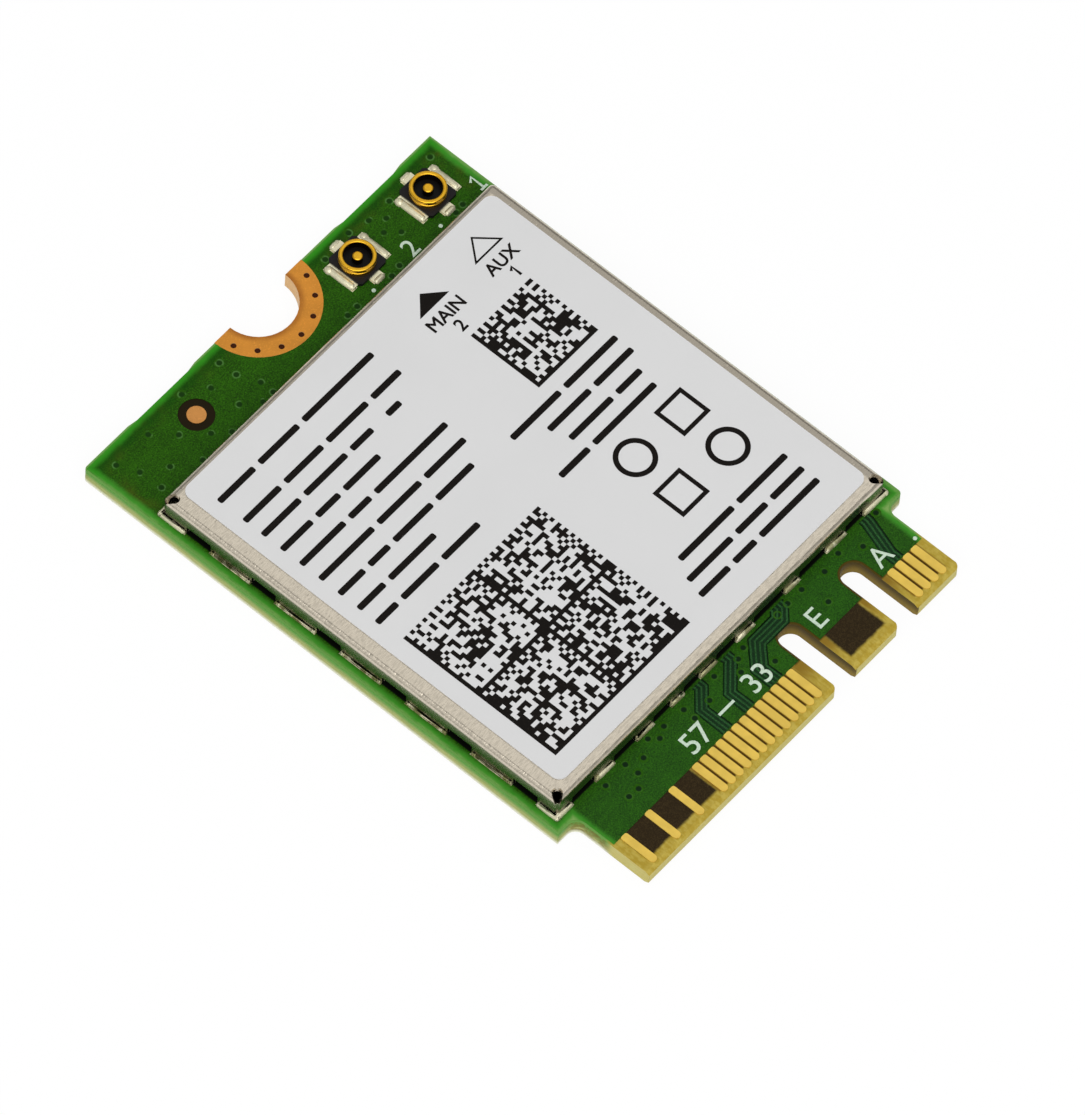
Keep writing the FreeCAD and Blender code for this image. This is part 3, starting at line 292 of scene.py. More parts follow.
class CardStage(bpy.types.PropertyGroup):
    """The camera and the light."""
    camera_distance: number("Camera distance", "From the card", 0.7018, unit="LENGTH")
    camera_lens: number("Lens", "Focal length in millimetres", 547.06)
    azimuth: angle("Azimuth", "Turn of the view", -53.55)
    elevation: angle("Elevation", "Height of the view", 59.39)
    roll: angle("Roll", "Tilt of the picture", 4.9)
    softbox_power: power("Softbox power", "Lamp behind the card", 1.05)
    side_power: power("Side power", "Lamp to the left of the card", 0.24)
    fill_power: power("Fill power", "Large lamp above the camera", 8.0)


class Value:
    """A number that changes over a surface. Arithmetic on it adds Math nodes."""

    def __init__(self, finish, socket):
        self.finish = finish
        self.socket = socket

    def math(self, operation, *inputs):
        return self.finish.add("ShaderNodeMath", {"operation": operation}, dict(enumerate(inputs)))

    def __add__(self, other):
        return self.math("ADD", self, other)

    def __sub__(self, other):
        return self.math("SUBTRACT", self, other)

    def __rsub__(self, other):
        return self.math("SUBTRACT", other, self)

    def __mul__(self, other):
        return self.math("MULTIPLY", self, other)

    def __neg__(self):
        return self.math("MULTIPLY", self, -1.0)

    def __abs__(self):
        return self.math("ABSOLUTE", self)

    def __pow__(self, other):
        return self.math("POWER", self, other)

    __radd__ = __add__
    __rmul__ = __mul__

    def lesser(self, other):
        return self.math("MINIMUM", self, other)

    def greater(self, other):
        return self.math("MAXIMUM", self, other)


class Nodes:
    """The nodes of a material or of the world, under construction."""

    def __init__(self, owner):
        owner.use_nodes = True
        self.tree = owner.node_tree
        self.tree.nodes.clear()

    def put(self, node, sockets):
        for key, item in sockets.items():
            name = key.replace("_", " ") if isinstance(key, str) else key
            socket = node.inputs[name]
            if isinstance(item, Value):
                self.tree.links.new(item.socket, socket)
            elif socket.type == "RGBA" and len(item) == 3:
                socket.default_value = (*item, 1.0)
            else:
                socket.default_value = item

    def add(self, kind, settings=None, sockets=None, output=0):
        """A node of a kind: its settings first, then its sockets; one output comes back."""
        node = self.tree.nodes.new(kind)
        for key, item in (settings or {}).items():
            setattr(node, key, item)
        self.put(node, sockets or {})
        return Value(self, node.outputs[output]) if node.outputs else None

    def step(self, value, low, high, first=0.0, last=1.0):
        """A smooth change from one number at low to another at high."""
        return self.add("ShaderNodeMapRange", {"interpolation_type": "SMOOTHSTEP"}, {
            "Value": value, "From Min": low, "From Max": high, "To Min": first, "To Max": last})


class Finish(Nodes):
    """A material under construction, with places in millimetres in the card's frame."""

    def __init__(self, name, **constants):
        self.material = bpy.data.materials.new(name)
        super().__init__(self.material)
        surface = self.add("ShaderNodeBsdfPrincipled")
        self.shader = surface.socket.node
        self.add("ShaderNodeOutputMaterial", None, {"Surface": surface})
        self.put(self.shader, constants)

    def set(self, **sockets):
        self.put(self.shader, sockets)
        return self

    def place(self):
        """Where a point is, in millimetres."""
        point = self.add("ShaderNodeTexCoord", output=3)
        return self.add("ShaderNodeVectorMath", {"operation": "SCALE"}, {0: point, "Scale": 1 / MM})

    def axes(self):
        point = self.place()
        return [self.add("ShaderNodeSeparateXYZ", None, {0: point}, axis) for axis in range(3)]

    def away(self, x, y):
        """Distance from an upright axis."""
        across, along, _ = self.axes()
        return ((across - x) * (across - x) + (along - y) * (along - y)) ** 0.5

    def upward(self):
        """How far a face looks up or down, 0 on a wall and 1 on a level face."""
        normal = self.add("ShaderNodeNewGeometry", output=1)
        return abs(self.add("ShaderNodeSeparateXYZ", None, {0: normal}, 2))

    def noise(self, scale, detail=2.0, stretch=(1.0, 1.0, 1.0)):
        """Chance from 0 to 1, with its grain per millimetre."""
        spread = self.add("ShaderNodeMapping", None, {"Vector": self.place(), "Scale": stretch})
        return self.add("ShaderNodeTexNoise", None,
                        {"Vector": spread, "Scale": scale, "Detail": detail})

    def cells(self, scale, stretch):
        """Distance to the nearest of scattered points."""
        spread = self.add("ShaderNodeMapping", None, {"Vector": self.place(), "Scale": stretch})
        return self.add("ShaderNodeTexVoronoi", None, {"Vector": spread, "Scale": scale})

    def mix(self, factor, first, second):
        """A colour between two others."""
        return self.add("ShaderNodeMix", {"data_type": "RGBA"}, {0: factor, 6: first, 7: second}, 2)

    def turn(self, value, low, high, first, second):
        """A colour that turns from one to another while a value goes from low to high."""
        return self.mix(self.step(value, low, high), first, second)

    def relief(self, height, depth):
        """A bumpy normal; depth in millimetres is what a height of 1 stands for."""
        bump = self.add("ShaderNodeBump", None, {
            "Height": height, "Strength": 1.0, "Distance": depth * MM})
        return self.set(Normal=bump)


def rectangle(x, y, left, right, low, high):
    """Distance out of a rectangle, in the frame of the x and y that are given."""
    across = abs(x - (left + right) / 2) - (right - left) / 2
    along = abs(y - (low + high) / 2) - (high - low) / 2
    return across.greater(along)


def over_node(finish, node):
    """Distance out of the rectangle that a CAD node covers."""
    x, y, _ = finish.axes()
    low, high = (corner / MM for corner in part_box(node))
    return rectangle(x, y, low.x, high.x, low.y, high.y)


def buried_copper(finish, slots):
    """Distance out of the copper inside the board, which stops short of the cut edges."""
    x, y, _ = finish.axes()
    y = y - LEADING_EDGE
    edge = rectangle(x, y, *INNER_BODY).lesser(
        rectangle(x, y, *(INNER_TONGUE_BARE if slots else INNER_TONGUE)))
    if slots:
        for key in KEY_SLOTS:
            edge = edge.greater(-rectangle(x, y, key - 0.9, key + 0.9, -1.0, 3.85))
        for left, right in CONTACT_BLOCKS:
            edge = edge.greater(-rectangle(x, y, left, right + 0.3, -1.0, 2.2))
    return edge + (finish.noise(3.0) - 0.5) * 0.12


def lacquer_finish(colours, name, over=None, shade_under=None):
    """Satin lacquer: dark over copper, bright along cut edges with a painted highlight at the very
    edge, and black painted shade under a covering node with a painted shadow just outside it.
    """
    finish = Finish(name, IOR=1.5, Specular_IOR_Level=0.07)
    edge = buried_copper(finish, slots=False)
    mottle = finish.noise(1.1, 4.0)
    grain = finish.noise(17.0, 3.0)
    weave = finish.noise(5.0, 2.0, (1.0, 0.35, 1.0))
    _, y, _ = finish.axes()
    base = over or colours.lacquer
    dark = finish.turn(mottle, 0.35, 0.7, shade(base, 0.82), shade(base, 1.12))
    dark = finish.turn(grain, 0.45, 0.75, dark, shade(base, 1.9))
    dark = finish.turn(grain, 0.48, 0.28, dark, shade(base, 0.42))
    brown = finish.step(edge, -0.8, -0.1) * finish.step(mottle, 0.4, 0.7) * 0.5
    dark = finish.mix(brown * finish.step(y, 9.0, 12.0), dark, LACQUER_BROWN)
    cool = finish.mix(grain, *LACQUER_COOL)
    dark = finish.mix(finish.step(y, -9.8, -11.4) * 0.2, dark, cool)
    dark = finish.mix(finish.step(y, 14.15, 14.5) * 0.6, dark, LACQUER_SEAM)
    # The palest tone, in the outermost band along the cut edge, is a painted highlight on the
    # lacquer's rounded edge.
    rim = finish.turn(edge, 0.16, 0.4, colours.lacquer_rim, LACQUER_RIM_PAINTED_HIGHLIGHT)
    rim = finish.mix(finish.step(weave, 0.4, 0.8) * 0.6, rim, LACQUER_RIM_WEAVE)
    rim = finish.mix(finish.step(y, 13.6, 14.6) * 0.65, rim, LACQUER_RIM_REAR)
    tone = finish.turn(edge, -0.12, 0.2, dark, rim)
    # Painted shade: under the covering node the lacquer turns nearly black, and a painted shadow
    # fades in over 0.07 mm outside its outline.
    if shade_under:
        tone = finish.turn(over_node(finish, shade_under), 0.07, 0.0, tone, LACQUER_PAINTED_SHADE)
    finish.set(Base_Color=tone, Roughness=0.36 + 0.16 * mottle)
    return finish.relief(grain * 0.5 + weave, 0.006)


def via_finish(colours):
    """Lacquer that sinks into a hole: a broken pale crest that is a painted highlight, darker
    towards the middle.
    """
    finish = Finish("sunk_lacquer", IOR=1.5, Specular_IOR_Level=0.06)
    dip = finish.add("ShaderNodeAttribute", {"attribute_name": "dip"}, output=2)
    grain = finish.noise(17.0, 3.0)
    base = colours.lacquer
    _, along, _ = finish.axes()
    skirt = finish.turn(grain, 0.4, 0.75, base, shade(base, 1.4))
    sunk = finish.turn(along, -5.0, 5.0, *VIA_SUNK)
    # Painted highlight: a pale, broken crest on the rim, stronger on the rear holes than on the
    # front ones.
    crest = finish.step(abs(dip - 0.5), 0.4, 0.05) * finish.step(finish.noise(3.2), 0.44, 0.56)
    skirt = finish.mix(crest * finish.step(along, -5.0, 5.0, 0.15, 0.5), skirt, VIA_PAINTED_HIGHLIGHT)
    return finish.set(Base_Color=finish.turn(dip, 0.55, 0.95, skirt, sunk),
                      Roughness=0.28 + 0.1 * grain)


def laminate_finish(colours):
    """Glass-fibre board: clear borders, buried copper, banded cut walls, and painted shade in the
    slots, between the contacts and under the stitch holes of the ring.
    """
    finish = Finish("glass_laminate", Roughness=0.55, Specular_IOR_Level=0.08)
    edge = buried_copper(finish, slots=True)
    x, y, z = finish.axes()
    along = y - LEADING_EDGE
    weave = finish.noise(6.0, 3.0, (1.0, 0.5, 1.0))
    fibre = finish.noise(2.2, 3.0, (0.5, 0.5, 9.0))
    speck = finish.noise(22.0, 2.0)

    def patch(left, right, low, high, soft=0.05):
        """1 inside a rectangle and 0 outside, with a soft border."""
        return finish.step(rectangle(x, along, left, right, low, high), soft, -soft)

    # Level faces: the plug's clear laminate, then the green of the lacquered board.
    lacquered = finish.step(along, 1.9, 2.5)
    clear = finish.turn(weave, 0.35, 0.7, colours.laminate, LAMINATE_WEAVE)
    pitch = x * 2.0
    # Painted shade: the laminate round each row of contacts is darkened, and thin dark lines are
    # painted in the gaps between contacts.
    contact_gap_shade = finish.step(abs(pitch.math("FRACT", pitch) - 0.5), 0.41, 0.45)
    for left, right in CONTACT_BLOCKS:
        clear = finish.mix(patch(left, right, 0.4, 2.2), clear, LAMINATE_BETWEEN_PAINTED_SHADE)
        inner = patch(left + 0.2, right - 0.2, 0.4, 2.2)
        clear = finish.mix(inner * contact_gap_shade, clear, LAMINATE_GAP_PAINTED_SHADE)
    for left, right in SLOT_BORDERS:
        beside_slot = patch(left, right, 0.35, 2.2, 0.08) * finish.step(along, 0.6, 1.8)
        clear = finish.mix(beside_slot, clear, LAMINATE_BROWN)
    clear = finish.mix(lacquered, clear, LAMINATE_GREEN)
    # Painted shade on level faces along the border of each key slot.
    for key in KEY_SLOTS:
        border = rectangle(x, along, key - 0.9, key + 0.9, 2.0, 3.8)
        clear = finish.turn(border, 0.1, -0.02, clear, SLOT_PAINTED_SHADE)
    brown = finish.turn(speck, 0.4, 0.75, colours.inner_copper, LAMINATE_SPECK)
    level = finish.turn(edge, -0.1, 0.07, brown, clear)
    # Painted shade: the laminate under the copper ring is dark brown, so that the stitch holes look
    # dark.
    level = finish.turn(finish.away(0.0, REAR_EDGE), 2.72, 2.78, LAMINATE_HOLE_PAINTED_SHADE, level)
    level = finish.turn(over_node(finish, "alignment_dot"), 0.7, 0.6, level, LAMINATE_DOT)

    # Cut walls: pale at the foot, green at the top, browner in a corner, and painted shade in the
    # slots.
    wall = finish.mix(lacquered, WALL_PLUG, colours.laminate_wall)
    wall = finish.mix(finish.step(fibre, 0.42, 0.68) * 0.6, wall, WALL_FIBRE)
    wall = finish.mix(finish.step(z, 0.3, 0.84) * lacquered, wall, WALL_GREEN)
    # Browner, mottled by the weave, in a corner at the left shoulder of the plug.
    corner_patch = finish.step(rectangle(x, along, -10.3, -9.0, 2.3, 4.0), 0.3, -0.2)
    wall = finish.mix(corner_patch * finish.step(weave, 0.3, 0.6) * 0.75, wall, WALL_CORNER_BROWN)
    wall = finish.mix(finish.step(z, 0.34, 0.04) * lacquered, wall, WALL_PALE)
    # Painted shade on the slot walls, darker towards the top.
    slot_wall_shade = finish.turn(z, 0.15, 0.8, WALL_SLOT, SLOT_PAINTED_SHADE)
    for key in KEY_SLOTS:
        wall = finish.mix(patch(key - 0.68, key + 0.68, -1.0, 3.62, 0.02), wall, slot_wall_shade)
    finish.set(Base_Color=finish.turn(finish.upward(), 0.3, 0.7, wall, level))
    return finish.relief(fibre + speck * 0.4, 0.01)


def gold_finish(colours):
    """Plated contacts: a soft grain along each contact."""
    finish = Finish("gold_contact", Metallic=0.8, Specular_IOR_Level=0.3)
    drawn = finish.noise(9.0, 3.0, (1.0, 0.18, 1.0))
    base = colours.gold
    finish.set(Base_Color=finish.turn(finish.noise(1.6), 0.3, 0.75, shade(base, 0.88), base),
               Roughness=0.34 + 0.16 * drawn)
    return finish.relief(drawn, 0.008)


def copper_finish(name, base, notch=None):
    """Bare copper with a dull film, browner towards a notch of a radius in the rear edge as painted
    shade along the rounded edge, and pale on the upright wall as a painted highlight.
    """
    finish = Finish(name, Metallic=0.5, Specular_IOR_Level=0.2)
    cloud = finish.noise(1.3, 4.0)
    grain = finish.noise(14.0, 2.0)
    tone = finish.turn(cloud, 0.3, 0.7, shade(base, 0.88), base)
    tone = finish.turn(grain, 0.5, 0.8, tone, shade(base, 1.15))
    if notch:
        # Painted shade: browner, mottled, along the ring's rounded inner edge towards the notch.
        painted_shade = finish.step(finish.away(0.0, REAR_EDGE), notch + 0.34, notch)
        tone = finish.mix(painted_shade * finish.step(cloud, 0.25, 0.6, 0.35, 0.8), tone, COPPER_EDGE_PAINTED_SHADE)
        # Painted highlight: the upright wall of the ring is pale.
        tone = finish.turn(finish.upward(), 0.4, 0.2, tone, COPPER_WALL_PAINTED_HIGHLIGHT)
    finish.set(Base_Color=tone, Roughness=0.42 + 0.18 * cloud)
    return finish.relief(grain, 0.004)


def tin_finish(colours, name, shaded_from=None):
    """Tin-plated sheet rolled along X: short strokes and fine pits.

    On a lid that is darkened by painted shade from a right and a rear border outwards, the walls
    are darkened by painted shade too.
    """
    finish = Finish(name, Metallic=1.0)
    rolled = finish.noise(13.0, 3.0, (0.22, 1.0, 1.0))
    pits = finish.cells(6.5, (0.5, 1.0, 1.0))
    base = colours.tin
    tone = finish.turn(rolled, 0.36, 0.62, shade(base, 0.8), base)
    if shaded_from:
        x, y, _ = finish.axes()
        right, rear = shaded_from
        # Painted shade on level faces of the lid beyond the right and the rear border.
        painted_shade = finish.step((x - right).greater(y - rear), -0.06, 0.06)
        upward = finish.upward()
        tone = finish.mix(painted_shade * finish.step(upward, 0.9, 0.99), tone, shade(base, 0.56))
        # Painted shade: the walls are darkened to half.
        tone = finish.turn(upward, 0.05, 0.3, shade(base, 0.5), tone)
    finish.set(Base_Color=finish.turn(pits, 0.02, 0.3, shade(base, 0.76), tone),
               Roughness=0.18 + 0.16 * rolled)
    return finish.relief(rolled * 0.8 + finish.step(pits, 0.0, 0.4) * 0.5, 0.007)


def solder_finish(colours):
    """Bright solder that froze in small ripples, with a mottled olive tint at the side and front
    feet.
    """
    finish = Finish("bright_solder", Metallic=0.55, Specular_IOR_Level=0.4)
    ripple = finish.noise(5.0, 2.0)
    grain = finish.noise(20.0, 2.0)
    base = colours.solder
    tone = finish.turn(ripple, 0.3, 0.7, shade(base, 0.84), base)
    x, y, _ = finish.axes()
    # A mottled olive tint on the solder at the side and front feet of the can.
    side = finish.step(abs(x), 10.35, 10.45) * finish.step(abs(y - 0.4), 9.6, 9.2)
    front = finish.step(y, -10.3, -10.4) * finish.step(abs(x), 9.4, 9.0)
    olive_tint = (side * 0.85).greater(front * 0.7) * finish.step(finish.noise(2.2, 3.0), 0.42, 0.56)
    finish.set(Base_Color=finish.mix(olive_tint, tone, FOOT_OLIVE), Roughness=0.26 + 0.16 * grain)
    return finish.relief(ripple + grain * 0.15, 0.008)


def label_finish(colours):
    """Matt label film with a faint tooth."""
    finish = Finish("label_film", Roughness=0.55, Specular_IOR_Level=0.2)
    tooth = finish.noise(24.0, 2.0)
    cloud = finish.noise(0.25, 2.0)
    base = colours.label
    finish.set(Base_Color=finish.turn(cloud, 0.3, 0.7, shade(base, 0.98), base))
    return finish.relief(tooth + cloud * 2.0, 0.003)


def ink_finish(colours):
    """Thermal print: slightly uneven black."""
    finish = Finish("label_ink", Roughness=0.55, Specular_IOR_Level=0.1)
    speck = finish.noise(18.0, 2.0)
    return finish.set(Base_Color=finish.turn(speck, 0.55, 0.85, colours.ink, INK_THIN))


def legend_finish(colours):
    """Screen-printed legend: thin enough for the green to tint it."""
    finish = Finish("legend_paint", Roughness=0.5, Specular_IOR_Level=0.2)
    thin = finish.noise(9.0, 3.0)
    finish.set(Base_Color=finish.turn(thin, 0.45, 0.8, colours.legend, LEGEND_THIN))
    return finish.relief(thin, 0.006)


def receptacle_finish(colours, name, middle, reach):
    """Gold ring or pin whose foot, outside a reach from the axis, is tinned, with painted shade on
    upright faces well inside the reach.
    """
    finish = Finish(name)
    away = finish.away(middle.x, middle.y)
    turned = finish.noise(8.0, 2.0, (0.4, 0.4, 3.0))
    base = colours.ring_gold
    gold = finish.turn(turned, 0.3, 0.7, shade(base, 0.85), base)
    # Painted shade on upright faces well inside the ring: its inner wall and the pin's side.
    inner = finish.step(away, reach - 0.13, reach - 0.16) * finish.step(finish.upward(), 0.5, 0.2)
    gold = finish.mix(inner, gold, RING_INSIDE_PAINTED_SHADE)
    foot = finish.step(away, reach, reach + 0.03)
    finish.set(Base_Color=finish.mix(foot, gold, colours.solder), Metallic=1.0 - 0.45 * foot,
               Roughness=0.2 + 0.14 * turned)
    return finish.relief(turned, 0.006)


def resin_finish(name, base, well=None):
    """Moulded resin with a fine spark-eroded surface, and painted shade, nearly black, round the
    axis of a well.
    """
    finish = Finish(name, IOR=1.48, Specular_IOR_Level=0.2)
    grain = finish.noise(20.0, 3.0)
    tone = finish.turn(grain, 0.4, 0.75, base, shade(base, 1.6))
    if well:
        # Painted shade: nearly black round the axis of the well.
        tone = finish.turn(finish.away(well.x, well.y), 0.7, 0.62, tone, WELL_PAINTED_SHADE)
    finish.set(Base_Color=tone, Roughness=0.38 + 0.2 * grain)
    return finish.relief(grain, 0.006)


def ceramic_finish(name, base):
    """Fired ceramic body with a grainy surface."""
    finish = Finish(name)
    grain = finish.noise(10.0, 3.0)
    finish.set(Base_Color=finish.turn(grain, 0.3, 0.7, shade(base, 0.8), base),
               Roughness=0.35 + 0.2 * grain)
    return finish.relief(grain, 0.008)


def soft_pad_finish():
    """Soft filled pad, matt and slightly lumpy."""
    finish = Finish("soft_pad", Roughness=0.8)
    lump = finish.noise(2.5, 3.0)
    finish.set(Base_Color=finish.mix(lump, *PAD_GREY))
    return finish.relief(lump, 0.03)


def start_clean():
    """Leave edit mode and let go of every object."""
    if bpy.context.object and bpy.context.object.mode != "OBJECT":
        bpy.ops.object.mode_set(mode="OBJECT")
    bpy.ops.object.select_all(action="DESELECT")


def take(piece):
    """Select one object and no other."""
    start_clean()
    piece.select_set(True)
    bpy.context.view_layer.objects.active = piece


def edit_all():
    """Go into edit mode with everything selected."""
    bpy.ops.object.mode_set(mode="EDIT")
    bpy.ops.mesh.select_all(action="SELECT")


def leave_edit():
    bpy.ops.object.mode_set(mode="OBJECT")


def apply_place():
    """Put the selected objects' place, turn and scale in their meshes."""
    bpy.ops.object.transform_apply(location=True, rotation=True, scale=True)


def apply_scale():
    bpy.ops.object.transform_apply(location=False, rotation=False, scale=True)


def spot(x, y, z):
    """A place on the card in Blender's metres; Y is from the leading edge."""
    return Vector((x, y + LEADING_EDGE, z)) * MM


def extent(mesh):
    """Lowest and highest corner of a mesh."""
    return tuple(Vector(pick(corner.co[axis] for corner in mesh.vertices) for axis in range(3))
                 for pick in (min, max))


def choose(piece, kind, chosen):
    """In edit mode, select the faces or corners that a test picks out."""
    bpy.ops.mesh.select_mode(type=kind)
    bpy.ops.mesh.select_all(action="DESELECT")
    mesh = bmesh.from_edit_mesh(piece.data)
    for item in mesh.faces if kind == "FACE" else mesh.verts:
        item.select_set(chosen(item))
    mesh.select_flush_mode()
    bmesh.update_edit_mesh(piece.data)


def raise_faces(height):
    """In edit mode, give the selected flat faces a thickness."""
    bpy.ops.mesh.extrude_region_move(TRANSFORM_OT_translate={"value": (0.0, 0.0, height)})


def join(pieces):
    """Make one object of several."""
    take(pieces[0])
    for piece in pieces:
        piece.select_set(True)
    if len(pieces) > 1:
        bpy.ops.object.join()
    return bpy.context.object


def settle(piece, name, material):
    """Put a finished piece's place in its mesh, dress it and let it ride on the card."""
    take(piece)
    apply_place()
    piece.name = name
    piece.data.name = name
    piece.data.materials.clear()
    piece.data.materials.append(material)
    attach(piece, "root")


def copies(template, places, turn=0.0):
    """Copies of a modelled piece at places, each with its own mesh, turned over about X."""
    made = []
    for place in places:
        take(template)
        bpy.ops.object.duplicate(linked=False)
        piece = bpy.context.object
        piece.location = place
        piece.rotation_euler.x = turn
        made.append(piece)
    return made


def track(points, width, rise, level):
    """One low rounded strip along a bent line."""
    start_clean()
    bpy.ops.mesh.primitive_plane_add(size=MM)
    bpy.ops.object.mode_set(mode="EDIT")
    bpy.ops.mesh.select_mode(type="VERT")
    bpy.ops.mesh.select_all(action="SELECT")
    bpy.ops.mesh.merge(type="CENTER")
    bpy.ops.transform.translate(value=spot(*points[0], 0.0))
    for before, after in zip(points, points[1:]):
        bpy.ops.mesh.extrude_region_move(
            TRANSFORM_OT_translate={"value": spot(*after, 0.0) - spot(*before, 0.0)})
    leave_edit()
    bpy.ops.object.convert(target="CURVE")
    line = bpy.context.object
    line.data.bevel_depth = width / 2
    line.data.bevel_resolution = 2
    bpy.ops.object.convert(target="MESH")
    strip = bpy.context.object
    strip.scale = (1.0, 1.0, 2 * rise / width)
    strip.location = (0.0, 0.0, level * MM)
    apply_place()
    bpy.ops.object.shade_smooth()
    return strip


def numeral_one(figure, level, rise):
    """A figure one as a bent stroke with a flag and, where it has one, a foot."""
    height, x, y, width, foot = figure
    half = height / 2
    lines = [((x - 0.3 * height, y + 0.24 * height), (x, y + half), (x, y - half))]
    if foot:
        lines.append(((x - foot / 2, y - half), (x + foot / 2, y - half)))
    return [track(line, width * MM, rise, level) for line in lines]


def words(text, height, x, y, weight, level, rise):
    """Raised lettering with its capitals of a height, about a middle point."""
    start_clean()
    bpy.ops.object.text_add(location=(0.0, 0.0, 0.0))
    letters = bpy.context.object.data
    letters.body = text
    letters.align_x = "CENTER"
    letters.size = 1.0
    letters.resolution_u = 4
    letters.extrude = 0.01
    letters.bevel_depth = weight
    letters.bevel_resolution = 1
    bpy.ops.object.convert(target="MESH")
    piece = bpy.context.object
    edit_all()
    bpy.ops.mesh.remove_doubles(threshold=0.0001)
    bpy.ops.mesh.normals_make_consistent(inside=False)
    leave_edit()
    low, high = extent(piece.data)
    scale = height * MM / (high.y - low.y)
    piece.scale = (scale, scale, rise / (high.z - low.z))
    middle = Vector((0.0, (low.y + high.y) / 2, low.z))
    piece.location = spot(x, y, level) - middle * piece.scale
    apply_place()
    return piece


class CARD_OT_finishes(bpy.types.Operator):
    """Give every CAD node its finish"""
    bl_idname = "card.finishes"
    bl_label = "Finishes"

    def execute(self, context):
        colours = context.scene.card_colours
        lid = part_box("shield_can")[1] / MM
        finishes = {
            "circuit_board": laminate_finish(colours),
            "solder_mask_top": lacquer_finish(colours, "green_lacquer", shade_under="shield_can"),
            "solder_mask_bottom": lacquer_finish(colours, "under_lacquer"),
            "mounting_ground_ring": copper_finish("ring_copper", colours.copper, NOTCH_RADIUS),
            "alignment_dot": copper_finish("dot_copper", COPPER_DOT),
            "shield_can": tin_finish(colours, "tin_plate", (lid.x - 0.5, lid.y - 0.36)),
            "label": label_finish(colours),
            "reference_crystal": tin_finish(colours, "crystal_lid"),
            "thermal_pad": soft_pad_finish(),
        }
        for finish, nodes in (
                (gold_finish(colours), ("contact_fingers_top", "contact_fingers_bottom")),
                (solder_finish(colours), ("shield_foot_pads", "shield_solder_banks",
                                          "antenna_solder_pads", "chip_solder_balls")),
                (resin_finish("chip_resin", CHIP_GREY), (
                    "wireless_chip", "front_end_module_main", "front_end_module_aux",
                    "settings_memory", "voltage_regulator")),
                (ceramic_finish("ceramic_body", CERAMIC_CREAM), ("band_filters", "capacitors")),
                (ceramic_finish("ferrite", FERRITE_GREY), ("power_inductors", "resistors"))):
            finishes.update(dict.fromkeys(nodes, finish))
        for port in RECEPTACLES:
            low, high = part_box(f"{port}_base")
            middle = (low + high) / 2 / MM
            finishes[f"{port}_base"] = resin_finish(f"{port}_resin", colours.resin, middle)
            finishes[f"{port}_shell"] = receptacle_finish(colours, f"{port}_ring", middle, 0.83)
            finishes[f"{port}_pin"] = receptacle_finish(colours, f"{port}_centre", middle, 0.6)
        for node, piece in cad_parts.items():
            piece.data.materials.clear()
            piece.data.materials.append(finishes[node].material)
        return {"FINISHED"}


class CARD_OT_vias(bpy.types.Operator):
    """Lacquered-over holes on both faces: a low rim round a dimple"""
    bl_idname = "card.vias"
    bl_label = "Vias"

    def execute(self, context):
        sizes = context.scene.card_sizes
        ring = sizes.via_radius * 0.3
        start_clean()
        bpy.ops.mesh.primitive_circle_add(vertices=14, radius=sizes.via_radius, fill_type="NGON")
        dish = context.object
        edit_all()
        bpy.ops.mesh.inset(thickness=ring, depth=sizes.via_rise)
        bpy.ops.mesh.inset(thickness=ring, depth=-sizes.via_rise * 0.75)
        leave_edit()
        dip = dish.data.attributes.new("dip", "FLOAT", "POINT")
        for corner in dish.data.vertices:
            reach = corner.co.xy.length / sizes.via_radius
            dip.data[corner.index].value = 1.0 if reach < 0.5 else 0.5 if reach < 0.85 else 0.0
        bpy.ops.object.shade_smooth()
        upper = copies(dish, [spot(x, y, LACQUER_TOP) for x, y in VIA_PLACES])
        lower = copies(dish, [spot(x, y, LACQUER_BOTTOM) for x, y in VIA_PLACES], math.pi)
        bpy.data.objects.remove(dish)
        material = via_finish(context.scene.card_colours).material
        settle(join(upper), "sunk_vias", material)
        settle(join(lower), "sunk_vias_under", material)
        return {"FINISHED"}


def bead(run, reach, rise):
    """A pill of frozen solder on the level plane, along X; its sizes are in metres."""
    start_clean()
    bpy.ops.mesh.primitive_circle_add(vertices=20, radius=reach, fill_type="NGON")
    piece = bpy.context.object
    bpy.ops.object.mode_set(mode="EDIT")
    for side in (-1, 1):
        choose(piece, "VERT", lambda corner: corner.co.x * side > reach * 0.05)
        bpy.ops.transform.translate(value=(side * max(run / 2 - reach, 0.0), 0.0, 0.0))
    bpy.ops.mesh.select_mode(type="FACE")
    bpy.ops.mesh.select_all(action="SELECT")
    raise_faces(rise * 0.25)
    for share in (0.35, 0.25, 0.15):
        bpy.ops.mesh.inset(thickness=reach * 0.26, depth=rise * share)
    leave_edit()
    bpy.ops.object.shade_smooth_by_angle(angle=math.radians(60))
    return piece


def against_wall():
    """Cut the active bead along the wall that it lies against, which is on its +Y side."""
    edit_all()
    bpy.ops.mesh.bisect(plane_co=(0.0, 0.0, 0.0), plane_no=(0.0, 1.0, 0.0),
                        use_fill=True, clear_outer=True)
    leave_edit()


def separate_boxes(node):
    """Boxes of a CAD node's separate solids, read from a copy that is thrown away."""
    take(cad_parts[node])
    bpy.ops.object.duplicate(linked=False)
    edit_all()
    bpy.ops.mesh.remove_doubles(threshold=0.001 * MM)
    bpy.ops.mesh.separate(type="LOOSE")
    leave_edit()
    boxes = []
    for part in list(bpy.context.selected_objects):
        boxes.append(extent(part.data))
        bpy.data.objects.remove(part)
    return sorted(boxes, key=lambda box: tuple(box[0]))


